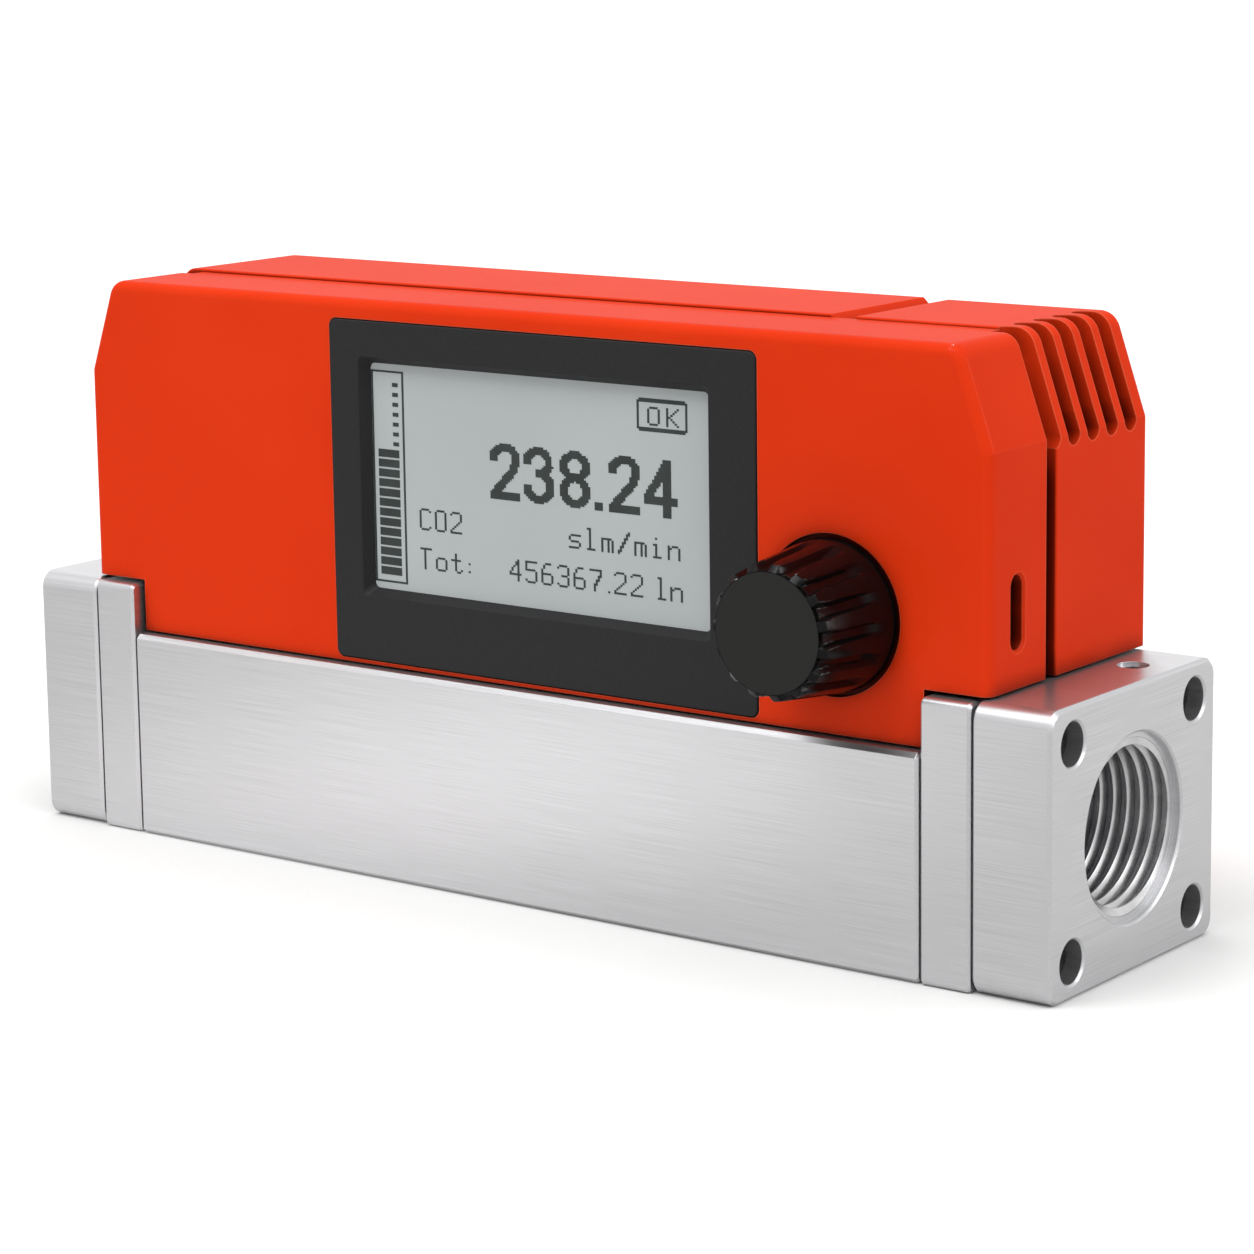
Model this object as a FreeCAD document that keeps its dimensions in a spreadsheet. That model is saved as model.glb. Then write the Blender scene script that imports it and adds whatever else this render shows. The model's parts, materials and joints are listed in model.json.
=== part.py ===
import FreeCAD, Part
import math
import os
import Sketcher

# Thermal mass flow meter with a display and a turn-and-push knob.
# Lengths are in millimetres. +X is the flow direction, -Y is the display side, +Z is up.
# The origin is at the bottom centre of the metal flow body.

os.makedirs("parts", exist_ok=True)
doc = FreeCAD.newDocument("FlowMeter")
sheet = doc.addObject("Spreadsheet::Sheet", "Sizes")


class Size:
    # A length that knows its number and the sheet formula that drives it.
    def __init__(self, number, formula):
        self.number = number
        self.formula = formula

    def __add__(self, other):
        other = asSize(other)
        return Size(self.number + other.number, f"({self.formula} + {other.formula})")

    def __radd__(self, other):
        return asSize(other) + self

    def __sub__(self, other):
        other = asSize(other)
        return Size(self.number - other.number, f"({self.formula} - {other.formula})")

    def __rsub__(self, other):
        return asSize(other) - self

    def __mul__(self, other):
        other = asSize(other)
        return Size(self.number * other.number, f"({self.formula} * {other.formula})")

    def __rmul__(self, other):
        return asSize(other) * self

    def __truediv__(self, other):
        other = asSize(other)
        return Size(self.number / other.number, f"({self.formula} / {other.formula})")

    def __neg__(self):
        return Size(-self.number, f"(0 - {self.formula})")


def asSize(value):
    if isinstance(value, Size):
        return value
    return Size(float(value), f"({float(value):.9g})")


def cell(alias, value):
    # Writes one driving dimension into the sheet and hands it back.
    row = cell.row = getattr(cell, "row", 0) + 1
    sheet.set(f"A{row}", alias)
    sheet.set(f"B{row}", str(value))
    sheet.setAlias(f"B{row}", alias)
    return Size(float(value), f"Sizes.{alias}")


# Metal train along the flow
bodyLength = cell("bodyLength", 123.2)
spacerLength = cell("spacerLength", 7.2)
portLength = cell("portLength", 10.3)
blockDepth = cell("blockDepth", 38)
portHeight = cell("portHeight", 34)
spacerDrop = cell("spacerDrop", 0.2)
bodyRise = cell("bodyRise", 10.2)
portRound = cell("portRound", 2.2)
spacerRound = cell("spacerRound", 0.8)
faceChamfer = cell("faceChamfer", 0.45)
seamChamfer = cell("seamChamfer", 0.35)
seamGap = cell("seamGap", 0.25)
seamInset = cell("seamInset", 1.5)
bodyEdge = cell("bodyEdge", 0.6)

# Ports and the flow channel
threadRadius = cell("threadRadius", 10.48)
threadDepth = cell("threadDepth", 15.3)
mouthStep = cell("mouthStep", 0.72)
mouthDepth = cell("mouthDepth", 0.9)
mouthChamfer = cell("mouthChamfer", 0.25)
spigotWall = cell("spigotWall", 1.9)
throatRadius = cell("throatRadius", 7)
sealSection = cell("sealSection", 1.2)
sealRadius = cell("sealRadius", 8.6)
seatGap = cell("seatGap", 0.05)
clearGap = cell("clearGap", 0.4)

# Fasteners
blockScrewInset = cell("blockScrewInset", 5)
blockScrewLevel = cell("blockScrewLevel", 4.4)
counterboreRadius = cell("counterboreRadius", 2.6)
counterboreDepth = cell("counterboreDepth", 4.6)
headRadius = cell("headRadius", 2.4)
headHeight = cell("headHeight", 2.2)
shankRadius = cell("shankRadius", 1.45)
blockScrewGrip = cell("blockScrewGrip", 6)
spacerScrewInset = cell("spacerScrewInset", 4)
spacerScrewRise = cell("spacerScrewRise", 6.6)
spacerHeadRadius = cell("spacerHeadRadius", 2)
spacerShankRadius = cell("spacerShankRadius", 1.2)
spacerScrewSink = cell("spacerScrewSink", 3)
bodyScrewGrip = cell("bodyScrewGrip", 7)
socketFlat = cell("socketFlat", 1.1)
plugX = cell("plugX", 5.0)
plugSpacing = cell("plugSpacing", 5.3)
plugRadius = cell("plugRadius", 1.9)
plugLength = cell("plugLength", 4)
plugSink = cell("plugSink", 0.4)
plugSocket = cell("plugSocket", 1.2)
mountHoleX = cell("mountHoleX", 45)
mountHoleRadius = cell("mountHoleRadius", 1.65)
mountHoleDepth = cell("mountHoleDepth", 6)

# Flow element, screens and sensor
screenThickness = cell("screenThickness", 1.2)
screenHole = cell("screenHole", 0.9)
screenPitch = cell("screenPitch", 2.5)
screenInset = cell("screenInset", 2)
elementInset = cell("elementInset", 4.5)
elementGap = cell("elementGap", 3)
elementBore = cell("elementBore", 1.1)
elementPitch = cell("elementPitch", 3.1)
sensorX = cell("sensorX", -12)
sensorStem = cell("sensorStem", 4.9)
sensorTip = cell("sensorTip", 19.5)
sensorLength = cell("sensorLength", 25)
sensorDepth = cell("sensorDepth", 14)
sensorPlate = cell("sensorPlate", 3)
sensorNotch = cell("sensorNotch", 2.5)
sensorHead = cell("sensorHead", 4)
sensorScrewX = cell("sensorScrewX", 9.5)
sensorScrewRadius = cell("sensorScrewRadius", 1.0)
channelSkin = cell("channelSkin", 0.7)

# Housing
coverOverhang = cell("coverOverhang", 1.2)
shoulderRun = cell("shoulderRun", 4.2)
frontInset = cell("frontInset", 1.9)
backInset = cell("backInset", 0.3)
sideParting = cell("sideParting", 4.9)
rearParting = cell("rearParting", 2.6)
partingGap = cell("partingGap", 0.15)
shoulderDrop = cell("shoulderDrop", 12)
frontTop = cell("frontTop", 74)
ventRise = cell("ventRise", 0.3)
lidRise = cell("lidRise", 0.4)
sillGap = cell("sillGap", 0.3)
wall = cell("wall", 2)
cornerRound = cell("cornerRound", 2.4)
frontRound = cell("frontRound", 1.3)
backRound = cell("backRound", 1.2)
lipWall = cell("lipWall", 1.5)
lipReach = cell("lipReach", 0.6)
lipGap = cell("lipGap", 0.2)
tongueInset = cell("tongueInset", 1)
ventLength = cell("ventLength", 30.1)
channelWidth = cell("channelWidth", 2.3)
channelUnderlap = cell("channelUnderlap", 1.4)
lidChamfer = cell("lidChamfer", 0.9)
ventBevel = cell("ventBevel", 0.5)
ventRound = cell("ventRound", 2.6)
coverEdge = cell("coverEdge", 0.3)

# Cooling slots in the vented cover
slotCount = cell("slotCount", 5)
slotWidth = cell("slotWidth", 2.85)
slotEnd = cell("slotEnd", 4.38)
slotStart = cell("slotStart", 3.08)
slotRun = cell("slotRun", 1.3)
slotReach = cell("slotReach", 3.8)
slotLedge = cell("slotLedge", 1.8)

# Bezel, display and side slot
bezelLeft = cell("bezelLeft", 27.2)
bezelKnobGap = cell("bezelKnobGap", 0.6)
bezelFoot = cell("bezelFoot", 0.6)
bezelHead = cell("bezelHead", 2.6)
bezelThickness = cell("bezelThickness", 1.4)
bezelProud = cell("bezelProud", 0.2)
bezelCorner = cell("bezelCorner", 1)
bezelGap = cell("bezelGap", 0.12)
windowLeft = cell("windowLeft", 4.7)
windowRight = cell("windowRight", 6.7)
windowBottom = cell("windowBottom", 8.3)
windowTop = cell("windowTop", 4.5)
apertureSlope = cell("apertureSlope", 0.9)
apertureRound = cell("apertureRound", 0.9)
glassMargin = cell("glassMargin", 0.8)
glassThickness = cell("glassThickness", 2)
lightThickness = cell("lightThickness", 2.2)
boardThickness = cell("boardThickness", 1.6)
boardPastBezel = cell("boardPastBezel", 4.3)
boardInset = cell("boardInset", 10.5)
boardFoot = cell("boardFoot", 3.4)
boardHead = cell("boardHead", 0.9)
postInset = cell("postInset", 3)
postRadius = cell("postRadius", 2.6)
pilotRadius = cell("pilotRadius", 0.95)
displayScrewGrip = cell("displayScrewGrip", 3)
sideSlotInset = cell("sideSlotInset", 6.1)
sideSlotRise = cell("sideSlotRise", 15.6)
sideSlotWidth = cell("sideSlotWidth", 2.7)
sideSlotLength = cell("sideSlotLength", 8.7)
sideSlotChamfer = cell("sideSlotChamfer", 0.35)
socketDepth = cell("socketDepth", 5.4)
socketWall = cell("socketWall", 0.3)
socketNose = cell("socketNose", 0.5)
socketBoard = cell("socketBoard", 1)
tongueThickness = cell("tongueThickness", 0.7)
tongueMargin = cell("tongueMargin", 1.3)
tongueSink = cell("tongueSink", 0.8)

# Knob and its encoder
knobInset = cell("knobInset", 21.5)
knobRise = cell("knobRise", 14)
knobClear = cell("knobClear", 0.5)
knobRecessDepth = cell("knobRecessDepth", 0.8)
knobBaseRadius = cell("knobBaseRadius", 9.1)
knobFrontRadius = cell("knobFrontRadius", 7.9)
knobFaceRadius = cell("knobFaceRadius", 7.1)
knobHeight = cell("knobHeight", 13)
knobRim = cell("knobRim", 0.7)
knobSkirt = cell("knobSkirt", 0.6)
knobLift = cell("knobLift", 0.1)
knobGrooves = cell("knobGrooves", 15)
grooveWidth = cell("grooveWidth", 1.6)
grooveDepth = cell("grooveDepth", 0.6)
grooveStart = cell("grooveStart", 1.7)
knobHollowRadius = cell("knobHollowRadius", 6.8)
knobHollowDepth = cell("knobHollowDepth", 4.5)
capThickness = cell("capThickness", 0.8)
shaftRadius = cell("shaftRadius", 3)
shaftInKnob = cell("shaftInKnob", 9)
runningGap = cell("runningGap", 0.06)
bushingWall = cell("bushingWall", 0.5)
bushingLength = cell("bushingLength", 3.6)
encoderSide = cell("encoderSide", 11)
encoderWall = cell("encoderWall", 1)
encoderRim = cell("encoderRim", 0.8)
rotorGap = cell("rotorGap", 0.3)
rotorThickness = cell("rotorThickness", 1.0)
pressTravel = cell("pressTravel", 0.5)
nutAcross = cell("nutAcross", 10)
nutThickness = cell("nutThickness", 1.5)

# Chassis, boards and rear connector
chassisThickness = cell("chassisThickness", 1.5)
chassisInset = cell("chassisInset", 13)
chassisClear = cell("chassisClear", 1.6)
chassisDrop = cell("chassisDrop", 7)
sensorWindow = cell("sensorWindow", 8)
chassisFront = cell("chassisFront", 1)
chassisScrewInset = cell("chassisScrewInset", 5)
chassisScrewMargin = cell("chassisScrewMargin", 4.5)
chassisScrewGrip = cell("chassisScrewGrip", 4)
coverScrewGrip = cell("coverScrewGrip", 6)
smallHead = cell("smallHead", 2.2)
smallHeadHeight = cell("smallHeadHeight", 1.3)
smallShank = cell("smallShank", 1.0)
bossRadius = cell("bossRadius", 2.9)
frontBossRise = cell("frontBossRise", 8.5)
bossOuterInset = cell("bossOuterInset", 17)
lidBossInset = cell("lidBossInset", 13.9)
frontBossInset = cell("frontBossInset", 1.5)
frontBossSpan = cell("frontBossSpan", 9)
rearBossRise = cell("rearBossRise", 11.5)
rearBossDrop = cell("rearBossDrop", 3)
ventBossDrop = cell("ventBossDrop", 4.7)
mainBoardInset = cell("mainBoardInset", 22)
mainBoardClear = cell("mainBoardClear", 1.1)
mainBoardRise = cell("mainBoardRise", 12.5)
mainBoardDrop = cell("mainBoardDrop", 1)
standoffLength = cell("standoffLength", 4)
standoffRadius = cell("standoffRadius", 2)
standoffReach = cell("standoffReach", 9)
standoffInset = cell("standoffInset", 4)
plugConnectorX = cell("plugConnectorX", -18)
plugConnectorRise = cell("plugConnectorRise", 22.5)
shellWide = cell("shellWide", 8.45)
shellNarrow = cell("shellNarrow", 7.7)
shellHalfHeight = cell("shellHalfHeight", 4.2)
shellReach = cell("shellReach", 5.8)
shellWall = cell("shellWall", 0.45)
flangeHalf = cell("flangeHalf", 15.4)
flangeHalfHeight = cell("flangeHalfHeight", 6.2)
flangeThickness = cell("flangeThickness", 0.9)
hexPostX = cell("hexPostX", 12.5)
hexPostFlat = cell("hexPostFlat", 2.4)
hexPostLength = cell("hexPostLength", 4.6)
hexPostShank = cell("hexPostShank", 1.5)
hexPostBore = cell("hexPostBore", 1.2)
pinPitch = cell("pinPitch", 2.77)
pinRow = cell("pinRow", 1.42)
pinRadius = cell("pinRadius", 0.5)
pinLength = cell("pinLength", 4)
insertRise = cell("insertRise", 1)
chipShift = cell("chipShift", 14)
chipLength = cell("chipLength", 13)
chipWidth = cell("chipWidth", 11)
chipRise = cell("chipRise", 6)
chipHeight = cell("chipHeight", 1.6)

# Places along the metal train, up it and across it
bodyEnd = bodyLength / 2
spacerEnd = bodyEnd + spacerLength
portEnd = spacerEnd + portLength
halfDepth = blockDepth / 2
flowHeight = portHeight / 2
bodyHeight = flowHeight + bodyRise
spacerHeight = portHeight - spacerDrop
mouthRadius = threadRadius + mouthStep
spigotRadius = threadRadius + spigotWall
spigotLength = threadDepth - portLength
sealSeat = threadRadius + spigotWall / 2
blockScrewY = halfDepth - blockScrewInset
blockScrewRise = flowHeight - blockScrewLevel
plugY = blockScrewY - plugSpacing
spacerScrewY = halfDepth - spacerScrewInset
sensorScrewGrip = bodyRise - throatRadius - channelSkin

# Outline of the housing
stepX = bodyEnd - sillGap
sill = bodyHeight + sillGap
endFloor = portHeight + sillGap
coverHalf = spacerEnd + coverOverhang
topHalf = coverHalf - shoulderRun
frontFace = halfDepth - frontInset
backFace = halfDepth - backInset
shoulderHeight = frontTop - shoulderDrop
ventTop = frontTop + ventRise
lidTop = frontTop + lidRise
lidEnd = coverHalf - ventLength
tongueHalf = topHalf - cornerRound - tongueInset
slotPitch = (backFace - slotEnd + slotStart) / (slotCount - 1)
slotBottom = shoulderHeight - slotRun
slotInner = topHalf - slotReach
slotBacking = slotInner + slotLedge

# Knob, side slot, bezel and the display behind it
knobX = coverHalf - knobInset
knobZ = sill + knobRise
knobRecessRadius = knobBaseRadius + knobClear
bushingRadius = shaftRadius + bushingWall
rotorRadius = encoderSide / 2 - encoderRim - rotorGap
sideSlotY = frontFace - sideSlotInset
sideSlotZ = sill + sideSlotRise
bezelRight = knobX - knobRecessRadius - bezelKnobGap
bezelBottom = sill + bezelFoot
bezelTop = frontTop - bezelHead
apertureLeft = bezelLeft - windowLeft
apertureRight = bezelRight - windowRight
apertureBottom = bezelBottom + windowBottom
apertureTop = bezelTop - windowTop
displayBoardLeft = bezelLeft + boardPastBezel
displayBoardRight = coverHalf - boardInset
displayBoardBottom = bezelBottom + boardFoot
displayBoardTop = bezelTop - boardHead

# Chassis, bosses and boards
chassisBack = chassisThickness - chassisFront
chassisHalf = coverHalf - chassisInset
chassisHalfDepth = frontFace - wall - chassisClear
chassisTop = frontTop - chassisDrop
chassisScrewX = chassisHalf - chassisScrewInset
chassisScrewY = chassisHalfDepth - chassisScrewMargin
bossOuterX = coverHalf - bossOuterInset
lidBossX = lidEnd - lidBossInset
frontBossX = bezelRight - frontBossInset
frontBossLeft = bossOuterX - frontBossSpan
frontBossZ = sill + frontBossRise
rearBossLowZ = sill + rearBossRise
rearBossHighZ = shoulderHeight - rearBossDrop
ventBossHighZ = slotBottom - ventBossDrop
mainBoardLeft = coverHalf - mainBoardInset
mainBoardRight = lidBossX - bossRadius - mainBoardClear
mainBoardBottom = sill + mainBoardRise
mainBoardTop = chassisTop - mainBoardDrop
standoffLeft = mainBoardLeft - standoffReach
standoffRight = mainBoardRight - standoffInset
plugConnectorZ = sill + plugConnectorRise
glassLeft = apertureLeft + glassMargin - apertureSlope
glassRight = apertureRight + glassMargin - apertureSlope
glassBottom = apertureBottom - glassMargin + apertureSlope
glassTop = apertureTop + glassMargin - apertureSlope
bezelBack = -frontFace + bezelThickness - bezelProud
boardFace = bezelBack + glassThickness + lightThickness
knobBaseY = -frontFace + knobRecessDepth - pressTravel - knobLift

# Screw and boss places, on the plane that faces the front
displayPosts = [(-displayBoardLeft + postInset, displayBoardBottom + postInset),
                (-displayBoardLeft + postInset, displayBoardTop - postInset),
                (displayBoardRight - postInset, displayBoardBottom + postInset),
                (displayBoardRight - postInset, displayBoardTop - postInset)]
frontBosses = [(x, z) for x in (-frontBossLeft, frontBossX) for z in (frontBossZ, shoulderHeight)]
lidBosses = [(-bossOuterX, rearBossLowZ), (-bossOuterX, rearBossHighZ), (lidBossX, rearBossLowZ),
             (lidBossX, rearBossHighZ)]
ventBosses = [(bossOuterX, rearBossLowZ), (bossOuterX, ventBossHighZ)]
hexPosts = [(plugConnectorX + hexPostX * side, plugConnectorZ) for side in (-1, 1)]
standoffs = [(x, z) for x in (-standoffLeft, standoffRight)
             for z in (mainBoardBottom + standoffInset, mainBoardTop - standoffInset)]

pieces = []


# Modelling helpers

def tie(thing, prop, size):
    # Sets a property from a size and binds it to the sheet.
    size = asSize(size)
    holder = thing
    names = prop.split(".")
    if len(names) == 1:
        setattr(holder, names[0], size.number)
    thing.setExpression(prop, size.formula)


def newBody(label):
    body = doc.addObject("PartDesign::Body", "Body_" + label)
    body.Label = label
    pieces.append(body)
    return body


planes = {"x": "YZ_Plane", "y": "XZ_Plane", "z": "XY_Plane"}


def sketchOn(body, across, place):
    # A sketch square to the axis "across", standing at the given place on that axis.
    plane = [part for part in body.Origin.OriginFeatures if part.Role == planes[across]][0]
    sketch = body.newObject("Sketcher::SketchObject", "Sketch")
    sketch.AttachmentSupport = [(plane, "")]
    sketch.MapMode = "FlatFace"
    along = -asSize(place) if across == "y" else asSize(place)
    sketch.setExpression("AttachmentOffset.Base.z", along.formula)
    return sketch


def pin(sketch, geometry, point, where):
    # Holds one point of a sketch at its place from the origin. A None leaves that direction free.
    for kind, size in zip(("DistanceX", "DistanceY"), where):
        if size is None:
            continue
        size = asSize(size)
        rule = Sketcher.Constraint(kind, -1, 1, geometry, point, size.number)
        number = sketch.addConstraint(rule)
        sketch.setExpression(f"Constraints[{number}]", size.formula)


def addOutline(sketch, corners):
    # A closed outline of straight edges through the given corners.
    first = sketch.GeometryCount
    count = len(corners)
    spots = [FreeCAD.Vector(asSize(x).number, asSize(y).number, 0) for x, y in corners]
    for index in range(count):
        sketch.addGeometry(Part.LineSegment(spots[index], spots[(index + 1) % count]), False)
    for index in range(count):
        following = first + (index + 1) % count
        sketch.addConstraint(Sketcher.Constraint("Coincident", first + index, 2, following, 1))
    for index, corner in enumerate(corners):
        pin(sketch, first + index, 1, corner)


def addBox(sketch, left, low, right, high):
    addOutline(sketch, [(left, low), (right, low), (right, high), (left, high)])


def addCircle(sketch, x, y, radius):
    x, y, radius = asSize(x), asSize(y), asSize(radius)
    centre = FreeCAD.Vector(x.number, y.number, 0)
    circle = sketch.addGeometry(Part.Circle(centre, FreeCAD.Vector(0, 0, 1), radius.number), False)
    pin(sketch, circle, 3, (x, y))
    rule = sketch.addConstraint(Sketcher.Constraint("Radius", circle, radius.number))
    sketch.setExpression(f"Constraints[{rule}]", radius.formula)


def addHexagon(sketch, x, y, flat):
    # A hexagon whose flats are "flat" away from its centre.
    reach = asSize(flat) * (2 / math.sqrt(3))
    turns = [math.radians(60 * step) for step in range(6)]
    addOutline(sketch, [(x + reach * math.cos(turn), y + reach * math.sin(turn)) for turn in turns])


def addSlot(sketch, x, y, halfWidth, halfLength):
    # An upright slot with round ends.
    x, y, halfWidth, halfLength = [asSize(size) for size in (x, y, halfWidth, halfLength)]
    straight = halfLength - halfWidth
    sides = [(x + halfWidth, -1, 1), (x - halfWidth, 1, -1)]
    lines = []
    for sideX, start, stop in sides:
        ends = [FreeCAD.Vector(sideX.number, y.number + sign * straight.number, 0) for sign in (start, stop)]
        lines.append(sketch.addGeometry(Part.LineSegment(*ends), False))
        for point, sign in ((1, start), (2, stop)):
            pin(sketch, lines[-1], point, (sideX, y + straight * sign))
    for sign, joints in ((1, (0, 1)), (-1, (1, 0))):
        centre = FreeCAD.Vector(x.number, y.number + sign * straight.number, 0)
        whole = Part.Circle(centre, FreeCAD.Vector(0, 0, 1), halfWidth.number)
        begin = 0 if sign > 0 else math.pi
        arc = sketch.addGeometry(Part.ArcOfCircle(whole, begin, begin + math.pi), False)
        sketch.addConstraint(Sketcher.Constraint("Coincident", arc, 1, lines[joints[0]], 2))
        sketch.addConstraint(Sketcher.Constraint("Coincident", arc, 2, lines[joints[1]], 1))
        pin(sketch, arc, 3, (None, y + straight * sign))


def addOblong(sketch, x, y, halfLength, halfWidth):
    # A level slot with round ends, drawn as the upright one turned by a quarter.
    straight = asSize(halfLength) - halfWidth
    lines = []
    for sign in (-1, 1):
        sideY = y + halfWidth * sign
        ends = [FreeCAD.Vector((x + straight * side * sign).number, sideY.number, 0) for side in (1, -1)]
        lines.append(sketch.addGeometry(Part.LineSegment(*ends), False))
        for point, side in ((1, 1), (2, -1)):
            pin(sketch, lines[-1], point, (x + straight * side * sign, sideY))
    for sign, joints in ((1, (0, 1)), (-1, (1, 0))):
        centre = FreeCAD.Vector((x + straight * sign).number, asSize(y).number, 0)
        whole = Part.Circle(centre, FreeCAD.Vector(0, 0, 1), asSize(halfWidth).number)
        begin = -math.pi / 2 if sign > 0 else math.pi / 2
        arc = sketch.addGeometry(Part.ArcOfCircle(whole, begin, begin + math.pi), False)
        sketch.addConstraint(Sketcher.Constraint("Coincident", arc, 1, lines[joints[0]], 2))
        sketch.addConstraint(Sketcher.Constraint("Coincident", arc, 2, lines[joints[1]], 1))
        pin(sketch, arc, 3, (x + straight * sign, None))


def extrude(body, kind, across, low, high, draw):
    # Adds or cuts the drawn outline between two places on an axis.
    start = high if across == "y" else low
    sketch = sketchOn(body, across, start)
    draw(sketch)
    feature = body.newObject("PartDesign::" + kind, kind)
    feature.Profile = sketch
    tie(feature, "Length", asSize(high) - low)
    if kind == "Pocket":
        feature.Reversed = True
    sketch.Visibility = False
    return feature


def add(body, across, low, high, draw):
    return extrude(body, "Pad", across, low, high, draw)


def cut(body, across, low, high, draw):
    return extrude(body, "Pocket", across, low, high, draw)


def circles(spots, radius):
    def draw(sketch):
        for x, y in spots:
            addCircle(sketch, x, y, radius)
    return draw


def hexagons(spots, flat):
    def draw(sketch):
        for x, y in spots:
            addHexagon(sketch, asSize(x), asSize(y), flat)
    return draw


def annulus(spot, middle, width):
    # A flat ring of the given width about its middle radius.
    def draw(sketch):
        addCircle(sketch, *spot, middle + width / 2)
        addCircle(sketch, *spot, middle - width / 2)
    return draw


def corners(x, y, centre=(0, 0)):
    # Four spots that mirror each other about a centre.
    return [(centre[0] + x * side, centre[1] + y * row) for side in (-1, 1) for row in (-1, 1)]


def boxOf(left, low, right, high):
    return lambda sketch: addBox(sketch, left, low, right, high)


def outlineOf(corners):
    return lambda sketch: addOutline(sketch, corners)


def revolve(body, corners, kind="Revolution", axis="V_Axis"):
    # Turns a half section, drawn on the XZ plane, about the body's own Z axis.
    sketch = sketchOn(body, "y", 0)
    addOutline(sketch, corners)
    feature = body.newObject("PartDesign::" + kind, kind)
    feature.Profile = sketch
    feature.ReferenceAxis = (sketch, [axis])
    feature.Angle = 360
    sketch.Visibility = False
    return feature


def edgeNames(feature, wanted):
    # Names of the edges of a feature that pass the test.
    doc.recompute()
    return [f"Edge{number + 1}" for number, edge in enumerate(feature.Shape.Edges) if wanted(edge)]


def near(number, size, room=1e-4):
    return abs(number - asSize(size).number) < room


def liesAt(axis, place):
    # Edges that lie in the plane where the axis has the given value.
    def wanted(edge):
        box = edge.BoundBox
        low, high = getattr(box, axis + "Min"), getattr(box, axis + "Max")
        return near(low, place) and near(high, place)
    return wanted


def runsAlong(axis):
    # Straight edges that run along an axis.
    def wanted(edge):
        if edge.Curve.TypeId != "Part::GeomLine":
            return False
        box = edge.BoundBox
        others = [name for name in "XYZ" if name != axis]
        flat = all(near(getattr(box, name + "Length"), 0) for name in others)
        return flat and getattr(box, axis + "Length") > 1e-3
    return wanted


def both(*tests):
    return lambda edge: all(test(edge) for test in tests)


def anyOf(*tests):
    return lambda edge: any(test(edge) for test in tests)


def dress(body, kind, base, wanted, size):
    # Rounds or chamfers the wanted edges of a feature.
    names = edgeNames(base, wanted)
    feature = body.newObject("PartDesign::" + kind, kind)
    feature.Base = (base, names)
    tie(feature, "Radius" if kind == "Fillet" else "Size", size)
    return feature


def span(side, near, far):
    # The low and high ends of a stretch along X, on the inlet or outlet side.
    return (near, far) if side > 0 else (-asSize(far), -asSize(near))


def ring(label, across, spot, low, high, radius):
    # A seal as it lies squeezed flat in its groove.
    seal = newBody(label)
    add(seal, across, low, high, annulus(spot, radius, sealSection - seatGap * 2))
    return seal


def screws(label, across, spots, head, shank, headSpan, shankSpan, socketSpan, flat):
    # Socket screws that are alike, side by side in one piece as separate solids.
    body = newBody(label)
    add(body, across, *headSpan, circles(spots, head))
    add(body, across, *shankSpan, circles(spots, shank))
    cut(body, across, *socketSpan, hexagons(spots, flat))
    return body


# Metal train

def flowBody():
    # Extruded centre block with the flow channel, sensor pocket and tapped holes.
    body = newBody("flow_body")
    block = add(body, "x", -bodyEnd, bodyEnd, boxOf(-halfDepth, 0, halfDepth, bodyHeight))
    long = dress(body, "Chamfer", block, runsAlong("X"), bodyEdge)
    dress(body, "Chamfer", long, anyOf(liesAt("X", bodyEnd), liesAt("X", -bodyEnd)), seamChamfer)
    cut(body, "x", -bodyEnd, bodyEnd, circles([(0, flowHeight)], throatRadius))
    cut(body, "z", flowHeight, bodyHeight, circles([(sensorX, 0)], sensorStem + seatGap))
    cut(body, "z", bodyHeight - sealSection, bodyHeight,
        circles([(sensorX, 0)], sensorStem + seatGap + sealSection))
    spots = [(sensorX + sensorScrewX * side, 0) for side in (-1, 1)]
    cut(body, "z", bodyHeight - sensorScrewGrip, bodyHeight, circles(spots, sensorScrewRadius + seatGap))
    spots = corners(chassisScrewX, chassisScrewY)
    cut(body, "z", bodyHeight - chassisScrewGrip, bodyHeight, circles(spots, smallShank + seatGap))
    cut(body, "z", 0, mountHoleDepth, circles([(mountHoleX * side, 0) for side in (-1, 1)], mountHoleRadius))
    for side in (-1, 1):
        spots = corners(spacerScrewY, spacerScrewRise, (0, flowHeight))
        cut(body, "x", *span(side, bodyEnd - bodyScrewGrip, bodyEnd),
            circles(spots, spacerShankRadius + seatGap))
        cut(body, "x", *span(side, bodyEnd - sealSection, bodyEnd),
            annulus((0, flowHeight), sealRadius, sealSection))
    return body


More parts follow.
